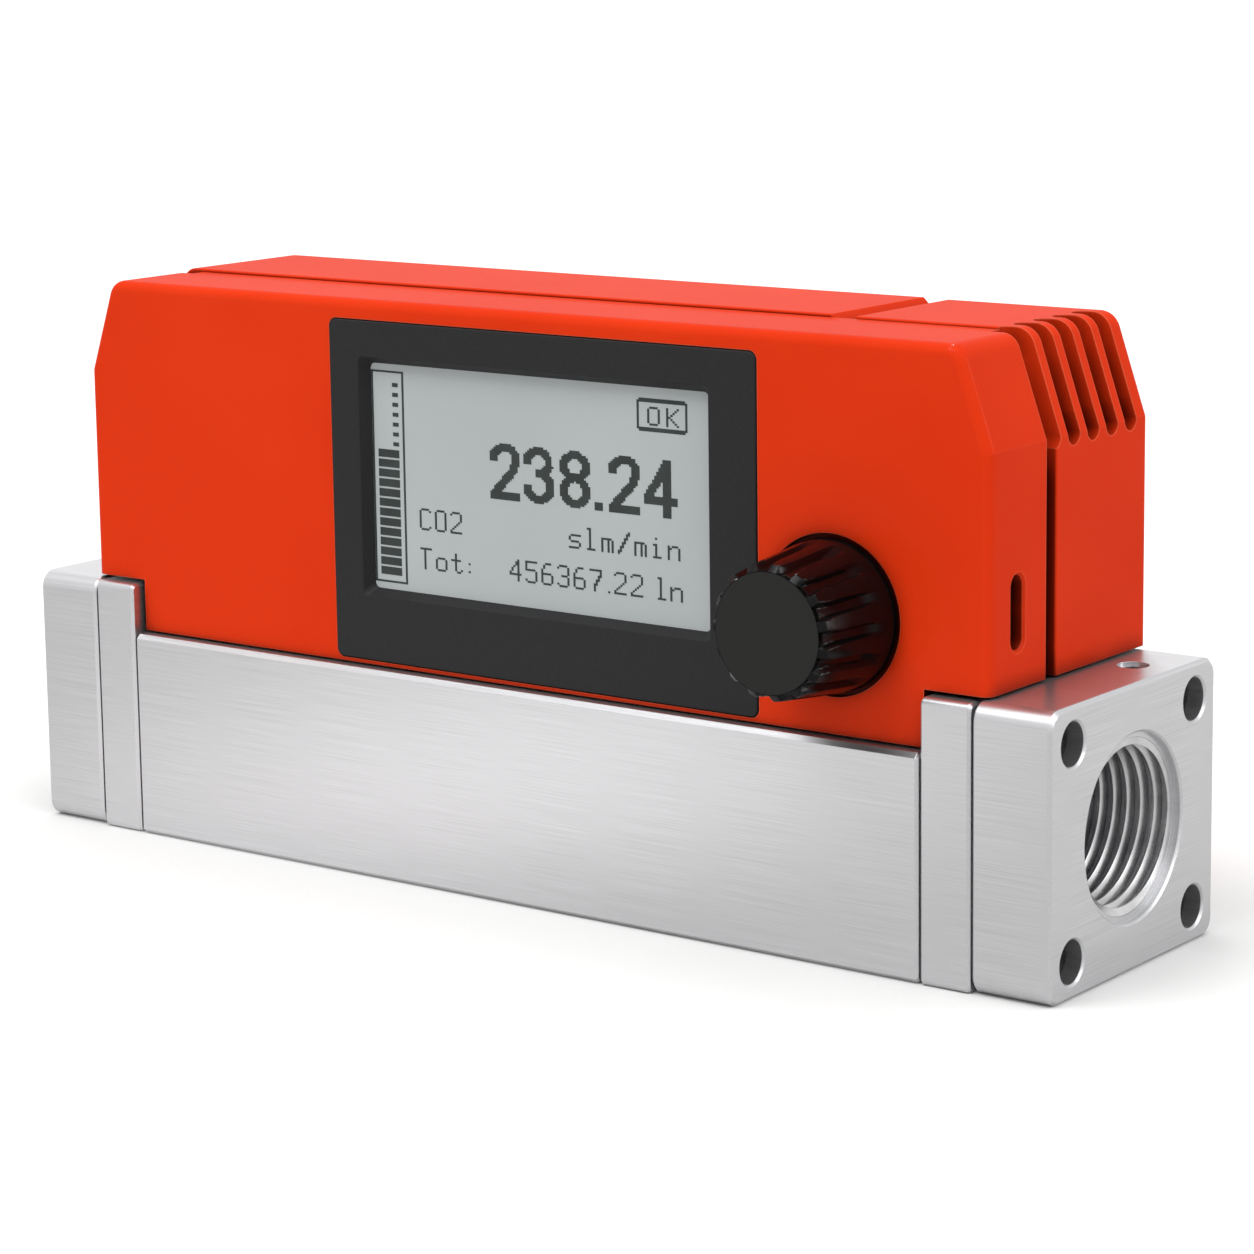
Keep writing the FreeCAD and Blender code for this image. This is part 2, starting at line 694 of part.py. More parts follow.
def spacer(label, side):
    # Plate between the flow body and a port block, with a recess for the port's spigot. Its faces touch
    # the blocks on raised pads, which leaves a narrow dark seam round their edges.
    body = newBody(label)
    low, high = span(side, bodyEnd, spacerEnd)
    rimLow, rimHigh = span(side, bodyEnd + seamGap, spacerEnd - seamGap)
    block = add(body, "x", rimLow, rimHigh, boxOf(-halfDepth, 0, halfDepth, spacerHeight))
    long = dress(body, "Fillet", block, runsAlong("X"), spacerRound)
    dress(body, "Chamfer", long, anyOf(liesAt("X", rimLow), liesAt("X", rimHigh)), seamChamfer)
    inner = halfDepth - seamInset
    add(body, "x", low, high, boxOf(-inner, seamInset, inner, bodyHeight - seamInset))
    floor = spacerEnd - spigotLength - seatGap
    cut(body, "x", *span(side, floor, spacerEnd), circles([(0, flowHeight)], spigotRadius + seatGap))
    cut(body, "x", low, high, circles([(0, flowHeight)], throatRadius))
    cut(body, "x", *span(side, floor - sealSection, floor), annulus((0, flowHeight), sealSeat, sealSection))
    spots = corners(spacerScrewY, spacerScrewRise, (0, flowHeight))
    cut(body, "x", low, high, circles(spots, spacerShankRadius + seatGap))
    cut(body, "x", *span(side, spacerEnd - spacerScrewSink, spacerEnd),
        circles(spots, spacerHeadRadius + seatGap * 2))
    spots = corners(blockScrewY, blockScrewRise, (0, flowHeight))
    cut(body, "x", *span(side, spacerEnd - blockScrewGrip, spacerEnd),
        circles(spots, shankRadius + seatGap))
    return body


def portBlock(label, side):
    # End block with the threaded port, its spigot, four counterbored holes and a test plug hole.
    body = newBody(label)
    low, high = span(side, spacerEnd, portEnd)
    face = portEnd * side
    seam = spacerEnd * side
    block = add(body, "x", low, high, boxOf(-halfDepth, 0, halfDepth, portHeight))
    long = dress(body, "Fillet", block, runsAlong("X"), portRound)
    front = dress(body, "Chamfer", long, liesAt("X", face), faceChamfer)
    dress(body, "Chamfer", front, liesAt("X", seam), seamChamfer)
    centre = [(0, flowHeight)]
    add(body, "x", *span(side, spacerEnd - spigotLength, spacerEnd), circles(centre, spigotRadius))
    cut(body, "x", *span(side, portEnd - threadDepth, portEnd), circles(centre, threadRadius))
    cut(body, "x", *span(side, portEnd - mouthDepth, portEnd), circles(centre, mouthRadius))
    spots = corners(blockScrewY, blockScrewRise, (0, flowHeight))
    cut(body, "x", low, high, circles(spots, shankRadius + seatGap))
    bores = cut(body, "x", *span(side, portEnd - counterboreDepth, portEnd),
                circles(spots, counterboreRadius))
    rims = both(liesAt("X", face), lambda edge: edge.Curve.TypeId == "Part::GeomCircle",
                lambda edge: edge.Curve.Radius > asSize(counterboreRadius).number * 0.99)
    dress(body, "Chamfer", bores, rims, mouthChamfer)
    cut(body, "z", portHeight - plugLength, portHeight,
        circles([((spacerEnd + plugX) * side, plugY)], plugRadius))
    return body


def endFasteners(name, side):
    spots = corners(blockScrewY, blockScrewRise, (0, flowHeight))
    floor = portEnd - counterboreDepth
    screws(name + "_port_screws", "x", spots, headRadius, shankRadius,
           span(side, floor, floor + headHeight), span(side, spacerEnd - blockScrewGrip + seatGap, floor),
           span(side, floor + headHeight * 0.4, floor + headHeight), socketFlat)
    spots = corners(spacerScrewY, spacerScrewRise, (0, flowHeight))
    floor = spacerEnd - spacerScrewSink
    screws(name + "_spacer_screws", "x", spots, spacerHeadRadius, spacerShankRadius,
           span(side, floor, floor + headHeight), span(side, bodyEnd - bodyScrewGrip + seatGap, floor),
           span(side, floor + headHeight * 0.4, floor + headHeight), socketFlat)


def endSeals(name, side):
    floor = spacerEnd - spigotLength - seatGap
    for label, face, radius in (("_port_seal", floor, sealSeat), ("_body_seal", bodyEnd, sealRadius)):
        ring(name + label, "x", (0, flowHeight), *span(side, face - sealSection, face), radius)


def testPlug(label, side):
    # Small sealing plug sunk into the top of a port block.
    body = newBody(label)
    spot = [((spacerEnd + plugX) * side, plugY)]
    add(body, "z", portHeight - plugLength, portHeight - plugSink, circles(spot, plugRadius - seatGap))
    cut(body, "z", portHeight - plugSink - plugSocket, portHeight - plugSink, hexagons(spot, plugRadius / 2))
    return body


def screen(label, side):
    # Perforated disc that holds back dirt, just inside the flow channel.
    body = newBody(label)
    low, high = span(side, bodyEnd - screenThickness - screenInset, bodyEnd - screenInset)
    add(body, "x", low, high, circles([(0, flowHeight)], throatRadius - seatGap))
    spots = [(screenPitch * column, flowHeight + screenPitch * row)
             for column in range(-2, 3) for row in range(-2, 3) if column * column + row * row < 5]
    cut(body, "x", low, high, circles(spots, screenHole))
    return body


def flowElement():
    # Bundle of straight ducts that steadies the gas ahead of the sensor.
    body = newBody("laminar_element")
    high = sensorX - sensorStem - elementGap
    low = screenInset + screenThickness + elementInset - bodyEnd
    add(body, "x", low, high, circles([(0, flowHeight)], throatRadius - seatGap))
    spots = [(0, flowHeight)]
    for turn in range(6):
        angle = math.radians(60 * turn)
        spots.append((elementPitch * math.cos(angle), flowHeight + elementPitch * math.sin(angle)))
    cut(body, "x", low, high, circles(spots, elementBore))
    return body


def sensorModule():
    # Heated sensor on a stem that dips into the channel, with its small board housing on top.
    body = newBody("sensor_module")
    plateTop = bodyHeight + sensorPlate
    add(body, "z", bodyHeight, plateTop,
        boxOf(sensorX - sensorLength / 2, -sensorDepth / 2, sensorX + sensorLength / 2, sensorDepth / 2))
    add(body, "z", sensorTip, bodyHeight, circles([(sensorX, 0)], sensorStem))
    cut(body, "z", sensorTip, sensorTip + sensorNotch,
        boxOf(sensorX - sensorStem, -sensorStem / 3, sensorX + sensorStem, sensorStem / 3))
    inner = sensorScrewX - smallHead - clearGap
    halfDepthOf = sensorDepth / 2 - clearGap
    add(body, "z", plateTop, plateTop + sensorHead,
        boxOf(sensorX - inner, -halfDepthOf, sensorX + inner, halfDepthOf))
    spots = [(sensorX + sensorScrewX * side, 0) for side in (-1, 1)]
    cut(body, "z", bodyHeight, plateTop, circles(spots, sensorScrewRadius + seatGap))
    ring("sensor_seal", "z", (sensorX, 0), bodyHeight - sealSection, bodyHeight,
         sensorStem + seatGap + sealSection / 2)
    screws("sensor_screws", "z", spots, smallHead, sensorScrewRadius,
           (plateTop, plateTop + smallHeadHeight),
           (bodyHeight - sensorScrewGrip + seatGap, plateTop),
           (plateTop + smallHeadHeight * 0.4, plateTop + smallHeadHeight), socketFlat * 0.8)
    return body


# Housing

def frontCover():
    # Moulded front shell with its bezel seat, knob recess, side slot and bosses.
    body = newBody("front_cover")
    front = -frontFace
    skin = [(-coverHalf, endFloor), (-stepX, endFloor), (-stepX, sill), (stepX, sill), (stepX, endFloor),
            (coverHalf, endFloor), (coverHalf, shoulderHeight), (topHalf, frontTop),
            (-topHalf, frontTop), (-coverHalf, shoulderHeight)]
    shell = add(body, "y", front, -sideParting, outlineOf(skin))
    corners = both(runsAlong("Y"), lambda edge: near(edge.BoundBox.ZMin, frontTop))
    rounded = dress(body, "Fillet", shell, corners, cornerRound)
    outer = both(liesAt("Y", front), lambda edge: edge.BoundBox.ZMax > asSize(endFloor).number + 0.01,
                 lambda edge: edge.BoundBox.ZMin > asSize(sill).number + 0.01)
    softened = dress(body, "Fillet", rounded, outer, frontRound)
    inside = frontTop - wall
    floor = endFloor + wall
    hollow = [(-coverHalf + wall, floor), (-stepX + wall, floor), (-stepX + wall, sill),
              (stepX - wall, sill), (stepX - wall, floor), (coverHalf - wall, floor),
              (coverHalf - wall, shoulderHeight), (topHalf - wall, inside),
              (-topHalf + wall, inside), (-coverHalf + wall, shoulderHeight)]
    cut(body, "y", front + wall, -sideParting, outlineOf(hollow))
    add(body, "y", -sideParting, -rearParting - partingGap, boxOf(-tongueHalf, inside, tongueHalf, frontTop))
    seat = front + bezelThickness - bezelProud
    recess = cut(body, "y", front, seat, boxOf(-bezelLeft - bezelGap, bezelBottom - bezelGap,
                                               bezelRight + bezelGap, bezelTop + bezelGap))
    recessCorners = both(runsAlong("Y"), anyOf(lambda edge: near(edge.BoundBox.XMin, -bezelLeft - bezelGap),
                                               lambda edge: near(edge.BoundBox.XMin, bezelRight + bezelGap)))
    dress(body, "Fillet", recess, recessCorners, bezelCorner + bezelGap)
    cut(body, "y", seat, front + wall, boxOf(-glassLeft - bezelGap, glassBottom - bezelGap,
                                             glassRight + bezelGap, glassTop + bezelGap))
    cut(body, "y", front, front + knobRecessDepth, circles([(knobX, knobZ)], knobRecessRadius))
    cut(body, "y", front + knobRecessDepth, front + wall, circles([(knobX, knobZ)], bushingRadius + seatGap))
    slot = cut(body, "x", coverHalf - wall, coverHalf,
               lambda sketch: addSlot(sketch, -sideSlotY, sideSlotZ, sideSlotWidth / 2, sideSlotLength / 2))
    slotRim = both(liesAt("X", coverHalf),
                   lambda edge: edge.BoundBox.ZMin > (sideSlotZ - sideSlotLength).number,
                   lambda edge: edge.BoundBox.ZMax < (sideSlotZ + sideSlotLength).number,
                   lambda edge: edge.BoundBox.ZLength < asSize(sideSlotLength).number)
    dress(body, "Chamfer", slot, slotRim, sideSlotChamfer)
    add(body, "y", front + wall, boardFace, circles(displayPosts, postRadius))
    cut(body, "y", front + wall, boardFace, circles(displayPosts, pilotRadius))
    add(body, "y", front + wall, -chassisFront, circles(frontBosses, bossRadius))
    cut(body, "y", -chassisFront - coverScrewGrip, -chassisFront, circles(frontBosses, smallShank + seatGap))
    return body


def rearSkin(side, inner, top, bevel):
    # Outline of a rear cover, from its cut edge to its end, with a bevel along the cut edge.
    return [(inner, sill), (stepX * side, sill), (stepX * side, endFloor), (coverHalf * side, endFloor),
            (coverHalf * side, shoulderHeight), (topHalf * side, top), (inner + bevel * side, top),
            (inner, top - bevel)]


def rearShell(body, side, inner, top, bevel, corner):
    # The outside of a rear cover, rounded at its top corner and along its back.
    shell = add(body, "y", -rearParting, backFace, outlineOf(rearSkin(side, inner, top, bevel)))
    ridge = both(runsAlong("Y"), lambda edge: near(edge.BoundBox.ZMin, top),
                 lambda edge: near(edge.BoundBox.XMin, topHalf * side))
    rounded = dress(body, "Fillet", shell, ridge, corner)
    outer = both(liesAt("Y", backFace), lambda edge: edge.BoundBox.ZMax > asSize(endFloor).number + 0.01,
                 lambda edge: edge.BoundBox.ZMin > asSize(sill).number + 0.01,
                 lambda edge: not near(edge.BoundBox.XMax, inner) or not near(edge.BoundBox.XMin, inner))
    softened = dress(body, "Fillet", rounded, outer, backRound)
    fore = both(liesAt("Y", -rearParting), lambda edge: edge.BoundBox.ZMax > asSize(endFloor).number + 0.01,
                lambda edge: edge.BoundBox.ZMin > asSize(sill).number + 0.01,
                lambda edge: not near(edge.BoundBox.XMax, inner) or not near(edge.BoundBox.XMin, inner))
    return dress(body, "Fillet", softened, fore, coverEdge)


def sideLip(body, side, topOfLip):
    # Inset lip that closes the parting groove at a cover's end, up to a given height.
    outer = (coverHalf - wall - lipGap) * side
    inner = (coverHalf - wall - lipGap - lipWall) * side
    root = (coverHalf - wall + lipGap) * side
    reach = -sideParting - lipReach
    corners = [(inner, 0), (root, 0), (root, -rearParting), (outer, -rearParting), (outer, reach),
               (inner, reach)]
    return add(body, "z", endFloor + lipGap + wall, topOfLip, outlineOf(corners))


def cornerLip(body, side, top):
    # The lip's upper part, which follows the sloped shoulder and ends under the front cover's top.
    def band(outset, upper):
        inset = wall + lipGap + lipWall
        innerTop = frontTop - inset
        start = shoulderHeight - 2
        return [((coverHalf - inset) * side, start), ((coverHalf - wall + outset) * side, start),
                ((coverHalf - wall + outset) * side, shoulderHeight),
                ((topHalf - wall + outset) * side, upper),
                ((tongueHalf - 1) * side, upper), ((tongueHalf - 1) * side, innerTop),
                ((topHalf - inset) * side, innerTop), ((coverHalf - inset) * side, shoulderHeight)]
    add(body, "y", -rearParting, 0, outlineOf(band(lipGap, top - wall + lipGap)))
    return add(body, "y", -sideParting - lipReach, -rearParting,
               outlineOf(band(-lipGap, frontTop - wall - lipGap)))


def rearCover():
    # Long rear shell on the inlet side, with the opening for the signal connector.
    body = newBody("rear_cover")
    rearShell(body, -1, lidEnd, lidTop, lidChamfer, cornerRound)
    inside = lidTop - wall
    floor = endFloor + wall
    hollow = [(lidEnd + 1, sill), (lidEnd + 1, inside), (-topHalf + wall, inside),
              (-coverHalf + wall, shoulderHeight), (-coverHalf + wall, floor), (-stepX + wall, floor),
              (-stepX + wall, sill)]
    cut(body, "y", -rearParting, backFace - wall, outlineOf(hollow))
    sideLip(body, -1, shoulderHeight - 2)
    cornerLip(body, -1, lidTop)
    opening = connectorOutline(shellWide + clearGap, shellNarrow + clearGap, shellHalfHeight + clearGap)
    cut(body, "y", backFace - wall, backFace, outlineOf(opening))
    cut(body, "y", backFace - wall, backFace, circles(hexPosts, hexPostShank + clearGap / 2))
    add(body, "y", chassisBack, backFace - wall, circles(lidBosses, bossRadius))
    cut(body, "y", chassisBack, backFace, circles(lidBosses, smallShank + seatGap))
    cut(body, "y", backFace - smallHeadHeight, backFace, circles(lidBosses, smallHead + seatGap * 2))
    return body


def connectorOutline(wide, narrow, high):
    # The D-shaped outline of the signal connector, wider along its top.
    low, top = plugConnectorZ - high, plugConnectorZ + high
    return [(plugConnectorX - narrow, low), (plugConnectorX + narrow, low), (plugConnectorX + wide, top),
            (plugConnectorX - wide, top)]


def ventedCover():
    # Short rear shell on the outlet side. Its corner is slotted into cooling fins.
    body = newBody("vented_cover")
    inner = lidEnd + channelWidth
    rearShell(body, 1, inner, ventTop, ventBevel, ventRound)
    inside = ventTop - wall
    floor = endFloor + wall
    backing = slotBottom - wall
    hollow = [(inner - 1, sill), (stepX - wall, sill), (stepX - wall, floor), (coverHalf - wall, floor),
              (coverHalf - wall, backing - wall), (slotBacking, backing), (slotBacking, inside),
              (inner - 1, inside)]
    cut(body, "y", -rearParting, backFace - wall, outlineOf(hollow))
    sideLip(body, 1, backing)
    lipTop = inside + lipGap
    add(body, "y", -rearParting, backFace - wall - lipGap,
        outlineOf([(lidEnd - channelUnderlap, lipTop - lipWall), (inner + wall, lipTop - lipWall),
                   (inner + wall, inside + wall / 2), (inner, inside + wall / 2), (inner, lipTop),
                   (lidEnd - channelUnderlap, lipTop)]))
    backLip = backFace - wall - lipGap
    add(body, "z", sill, lipTop - lipWall,
        outlineOf([(lidEnd - channelUnderlap, backLip - lipWall), (inner + wall, backLip - lipWall),
                   (inner + wall, backLip + wall / 2), (inner, backLip + wall / 2), (inner, backLip),
                   (lidEnd - channelUnderlap, backLip)]))
    add(body, "y", chassisBack, backFace - wall, circles(ventBosses, bossRadius))
    cut(body, "y", chassisBack, backFace, circles(ventBosses, smallShank + seatGap))
    cut(body, "y", backFace - smallHeadHeight, backFace, circles(ventBosses, smallHead + seatGap * 2))
    return body


def slotTool():
    # One cooling slot as a cutting form: a deep slot seen from the end, with a round inner end seen
    # from above.
    tool = doc.addObject("PartDesign::Body", "SlotTool")
    reach = coverHalf + 4
    top = ventTop + 4
    middle = -slotStart
    add(tool, "x", slotInner, reach,
        lambda sketch: addSlot(sketch, middle, (slotBottom + top) / 2, slotWidth / 2, (top - slotBottom) / 2))
    plan = doc.addObject("PartDesign::Body", "SlotPlan")
    add(plan, "z", slotBottom, ventTop + 2,
        lambda sketch: addOblong(sketch, (slotInner + reach) / 2, middle, (reach - slotInner) / 2,
                                 slotWidth / 2))
    form = doc.addObject("Part::MultiCommon", "SlotForm")
    form.Shapes = [tool, plan]
    return form


def slottedCover(cover):
    # Repeats the slot along the cover and cuts it.
    form = slotTool()
    form.Label = "slot_form"
    forms = []
    for number in range(int(slotCount.number)):
        copy = doc.addObject("Part::Compound", "Slot")
        copy.Links = [form]
        copy.setExpression("Placement.Base.y", (slotPitch * number).formula)
        forms.append(copy)
    row = doc.addObject("Part::Compound", "SlotRow")
    row.Links = forms
    slotted = doc.addObject("Part::Cut", "SlottedCover")
    slotted.Base = cover
    slotted.Tool = row
    slotted.Refine = True
    cover.Label = "vented_blank"
    slotted.Label = "vented_cover"
    pieces[pieces.index(cover)] = slotted
    return slotted


def bezel():
    # Flat plate with a sloped window that frames the display.
    body = newBody("display_bezel")
    front = -frontFace - bezelProud
    plate = add(body, "y", front, bezelBack, boxOf(-bezelLeft, bezelBottom, bezelRight, bezelTop))
    cornered = dress(body, "Fillet", plate, runsAlong("Y"), bezelCorner)
    dress(body, "Fillet", cornered, liesAt("Y", front), bezelProud)
    outer = sketchOn(body, "y", front)
    addBox(outer, -apertureLeft, apertureBottom, apertureRight, apertureTop)
    inner = sketchOn(body, "y", bezelBack)
    addBox(inner, -apertureLeft + apertureSlope, apertureBottom + apertureSlope,
           apertureRight - apertureSlope, apertureTop - apertureSlope)
    window = body.newObject("PartDesign::SubtractiveLoft", "Window")
    window.Profile = outer
    window.Sections = [inner]
    window.Ruled = True
    outer.Visibility = False
    inner.Visibility = False
    slants = lambda edge: near(edge.BoundBox.YMin, front) and near(edge.BoundBox.YMax, bezelBack)
    dress(body, "Fillet", window, slants, apertureRound)
    return body


def displayStack():
    # Glass cell, light plate and the board behind them.
    glass = newBody("display_glass")
    add(glass, "y", bezelBack, bezelBack + glassThickness,
        boxOf(-glassLeft, glassBottom, glassRight, glassTop))
    light = newBody("display_light")
    inset = clearGap
    add(light, "y", bezelBack + glassThickness, boardFace,
        boxOf(inset - glassLeft, glassBottom + inset, glassRight - inset, glassTop - inset))
    board = newBody("display_board")
    add(board, "y", boardFace, boardFace + boardThickness,
        boxOf(-displayBoardLeft, displayBoardBottom, displayBoardRight, displayBoardTop))
    cut(board, "y", boardFace, boardFace + boardThickness, circles(displayPosts, smallShank + seatGap * 2))
    cut(board, "y", boardFace, boardFace + boardThickness, circles(frontBosses[2:], bossRadius + lipGap))
    back = boardFace + boardThickness
    screws("display_board_screws", "y", displayPosts, smallHead, pilotRadius - seatGap,
           (back, back + smallHeadHeight), (boardFace - displayScrewGrip, back),
           (back + smallHeadHeight * 0.4, back + smallHeadHeight), socketFlat * 0.8)


def serviceSocket():
    # Small data socket behind the side slot: a folded metal shell whose nose reaches into the slot, and
    # its contact tongue.
    shell = newBody("service_socket")
    mouth = coverHalf - wall - lipGap
    inward = mouth - socketDepth
    halfY = sideSlotWidth / 2 - seatGap
    halfZ = sideSlotLength / 2 - clearGap
    centre = (-sideSlotY, sideSlotZ)

    def oblong(y, z):
        return boxOf(centre[0] - y, centre[1] - z, centre[0] + y, centre[1] + z)

    add(shell, "x", inward, mouth, oblong(halfY, halfZ))
    cut(shell, "x", inward + socketWall, mouth - socketWall, oblong(halfY - socketWall, halfZ - socketWall))
    nose = coverHalf - wall + socketNose
    noseY = sideSlotWidth / 2 - clearGap
    noseZ = (sideSlotLength - sideSlotWidth) / 2
    add(shell, "x", mouth - socketWall, nose, oblong(noseY, noseZ))
    cut(shell, "x", mouth - socketWall, nose, oblong(noseY - socketWall, noseZ - socketWall))
    tongue = newBody("socket_tongue")
    halfTongue = halfZ - tongueMargin
    add(tongue, "x", inward + socketWall, mouth - tongueSink, oblong(tongueThickness / 2, halfTongue))
    board = newBody("socket_board")
    left = displayBoardRight - socketDepth
    back = centre[0] + halfY
    add(board, "x", left, mouth - clearGap,
        boxOf(back, centre[1] - halfZ, back + socketBoard, centre[1] + halfZ))
    add(board, "x", left, displayBoardRight - clearGap,
        boxOf(boardFace + boardThickness, centre[1] - halfTongue, back, centre[1] + halfTongue))


# Knob and encoder

def encoder():
    # Rotary encoder: case with a threaded bushing, detent rotor, shaft and nut.
    case = newBody("encoder_case")
    front = -frontFace + wall
    half = encoderSide / 2
    spot = [(knobX, knobZ)]
    add(case, "y", front, boardFace, boxOf(knobX - half, knobZ - half, knobX + half, knobZ + half))
    add(case, "y", front - bushingLength, front, circles(spot, bushingRadius))
    cut(case, "y", front + encoderWall, boardFace - encoderWall, circles(spot, rotorRadius + rotorGap))
    cut(case, "y", front - bushingLength, boardFace, circles(spot, shaftRadius + runningGap))
    middle = (front + boardFace) / 2
    rotor = newBody("encoder_rotor")
    add(rotor, "y", middle - rotorThickness / 2, middle + rotorThickness / 2, circles(spot, rotorRadius))
    cut(rotor, "y", middle - rotorThickness / 2, middle + rotorThickness / 2,
        circles(spot, shaftRadius + runningGap))
    shaft = newBody("encoder_shaft")
    shaftBack = boardFace - pressTravel - rotorGap
    shaftFront = knobBaseY - shaftInKnob
    add(shaft, "y", shaftFront, shaftBack, circles(spot, shaftRadius))
    nut = newBody("encoder_nut")
    seat = -frontFace + knobRecessDepth
    add(nut, "y", seat - nutThickness, seat, hexagons(spot, nutAcross / 2))
    cut(nut, "y", seat - nutThickness, seat, circles(spot, bushingRadius + seatGap))


def knob():
    # Tapered grip with grooves round it. It is turned about its own Z axis and laid to face the front.
    body = newBody("knob")
    rimStart = knobHeight - knobRim
    profile = [(shaftRadius + seatGap, knobHollowDepth), (knobHollowRadius, knobHollowDepth),
               (knobHollowRadius, 0), (knobBaseRadius, 0), (knobBaseRadius, knobSkirt),
               (knobFrontRadius, rimStart),
               (knobFaceRadius, knobHeight), (knobFaceRadius, knobHeight - capThickness),
               (0, knobHeight - capThickness), (0, shaftInKnob), (shaftRadius + seatGap, shaftInKnob)]
    revolve(body, profile)
    section = sketchOn(body, "y", 0)
    addOutline(section, [(knobBaseRadius - grooveDepth, grooveStart), (knobBaseRadius + 1, grooveStart),
                         (knobBaseRadius + 1, knobHeight + 1),
                         (knobFrontRadius - grooveDepth, knobHeight + 1)])
    groove = body.newObject("PartDesign::Pocket", "Groove")
    groove.Profile = section
    tie(groove, "Length", grooveWidth)
    groove.Midplane = True
    section.Visibility = False
    axis = [part for part in body.Origin.OriginFeatures if part.Role == "Z_Axis"][0]
    ringOf = body.newObject("PartDesign::PolarPattern", "Grooves")
    ringOf.Originals = [groove]
    ringOf.Axis = (axis, [""])
    ringOf.Angle = 360
    ringOf.Occurrences = int(knobGrooves.number)
    ringOf.setExpression("Occurrences", knobGrooves.formula)
    body.Tip = ringOf
    faceForward(body)
    cap = newBody("knob_cap")
    add(cap, "z", knobHeight - capThickness, knobHeight, circles([(0, 0)], knobFaceRadius - seatGap))
    faceForward(cap)
    return body


def faceForward(body):
    # Turns a body's own Z axis to the front and carries it to the knob's place.
    body.Placement.Rotation = FreeCAD.Rotation(FreeCAD.Vector(1, 0, 0), 90)
    for name, size in (("x", knobX), ("y", knobBaseY), ("z", knobZ)):
        body.setExpression("Placement.Base." + name, size.formula)


# Chassis, boards and rear connector

def chassis():
    # Folded sheet that stands on the flow body and carries the boards and covers.
    body = newBody("chassis")
    top = bodyHeight + chassisThickness
    add(body, "z", bodyHeight, top, boxOf(-chassisHalf, -chassisHalfDepth, chassisHalf, chassisHalfDepth))
    add(body, "y", -chassisFront, chassisBack, boxOf(-chassisHalf, top, chassisHalf, chassisTop))
    half = sensorLength / 2 + clearGap
    across = sensorDepth / 2 + clearGap
    cut(body, "z", bodyHeight, top, boxOf(sensorX - half, -across, sensorX + half, across))
    cut(body, "y", -chassisFront, chassisBack, boxOf(sensorX - half, top, sensorX + half, top + sensorWindow))
    spots = corners(chassisScrewX, chassisScrewY)
    cut(body, "z", bodyHeight, top, circles(spots, smallShank + seatGap))
    cut(body, "y", -chassisFront, chassisBack,
        circles(frontBosses + lidBosses + ventBosses + standoffs, smallShank + seatGap))
    screws("chassis_screws", "z", spots, smallHead, smallShank, (top, top + smallHeadHeight),
           (bodyHeight - chassisScrewGrip + seatGap, top),
           (top + smallHeadHeight * 0.4, top + smallHeadHeight),
           socketFlat * 0.8)
    screws("front_cover_screws", "y", frontBosses, smallHead, smallShank,
           (chassisBack, chassisBack + smallHeadHeight),
           (seatGap - chassisFront - coverScrewGrip, chassisBack),
           (chassisBack + smallHeadHeight * 0.4, chassisBack + smallHeadHeight), socketFlat * 0.8)
    floor = backFace - smallHeadHeight
    screws("rear_cover_screws", "y", lidBosses + ventBosses, smallHead, smallShank,
           (floor, floor + smallHeadHeight), (-chassisFront, floor),
           (floor + smallHeadHeight * 0.4, floor + smallHeadHeight), socketFlat * 0.8)


def mainBoard():
    # Processor board on four standoffs behind the chassis wall.
    posts = newBody("board_standoffs")
    add(posts, "y", chassisBack, chassisBack + standoffLength, circles(standoffs, standoffRadius))
    add(posts, "y", -chassisFront, chassisBack, circles(standoffs, smallShank))
    board = newBody("main_board")
    low = chassisBack + standoffLength
    high = low + boardThickness
    add(board, "y", low, high, boxOf(-mainBoardLeft, mainBoardBottom, mainBoardRight, mainBoardTop))
    add(board, "y", high, high + chipHeight, boxOf(plugConnectorX + chipShift, mainBoardBottom + chipRise,
                                                   plugConnectorX + chipShift + chipLength,
                                                   mainBoardBottom + chipRise + chipWidth))
    return board


def signalConnector():
    # Nine-way D-shaped connector: flanged shell, insert with pins and two hex posts.
    shell = newBody("connector_shell")
    seat = backFace - wall
    left, right = plugConnectorX - flangeHalf, plugConnectorX + flangeHalf
    low, high = plugConnectorZ - flangeHalfHeight, plugConnectorZ + flangeHalfHeight
    add(shell, "y", seat - flangeThickness, seat, boxOf(left, low, right, high))
    outer = connectorOutline(shellWide, shellNarrow, shellHalfHeight)
    add(shell, "y", seat, seat + shellReach, outlineOf(outer))
    inner = connectorOutline(shellWide - shellWall, shellNarrow - shellWall, shellHalfHeight - shellWall)
    cut(shell, "y", seat - flangeThickness, seat + shellReach, outlineOf(inner))
    cut(shell, "y", seat - flangeThickness, seat, circles(hexPosts, hexPostShank + seatGap))
    insert = newBody("connector_insert")
    fit = shellWall + seatGap
    core = connectorOutline(shellWide - fit, shellNarrow - fit, shellHalfHeight - fit)
    boardBack = chassisBack + standoffLength + boardThickness
    face = seat + insertRise
    add(insert, "y", seat - flangeThickness, face, outlineOf(core))
    block = connectorOutline(shellWide - fit, shellWide - fit, shellHalfHeight)
    add(insert, "y", boardBack, seat - flangeThickness, outlineOf(block))
    spots = [(plugConnectorX + pinPitch * step, plugConnectorZ + pinRow) for step in range(-2, 3)]
    spots += [(plugConnectorX + pinPitch * (step + 0.5), plugConnectorZ - pinRow) for step in range(-2, 2)]
    add(insert, "y", face, face + pinLength, circles(spots, pinRadius))
    posts = newBody("connector_posts")
    add(posts, "y", seat - flangeThickness, backFace, circles(hexPosts, hexPostShank))
    add(posts, "y", backFace, backFace + hexPostLength, hexagons(hexPosts, hexPostFlat))
    cut(posts, "y", backFace, backFace + hexPostLength, circles(hexPosts, hexPostBore))


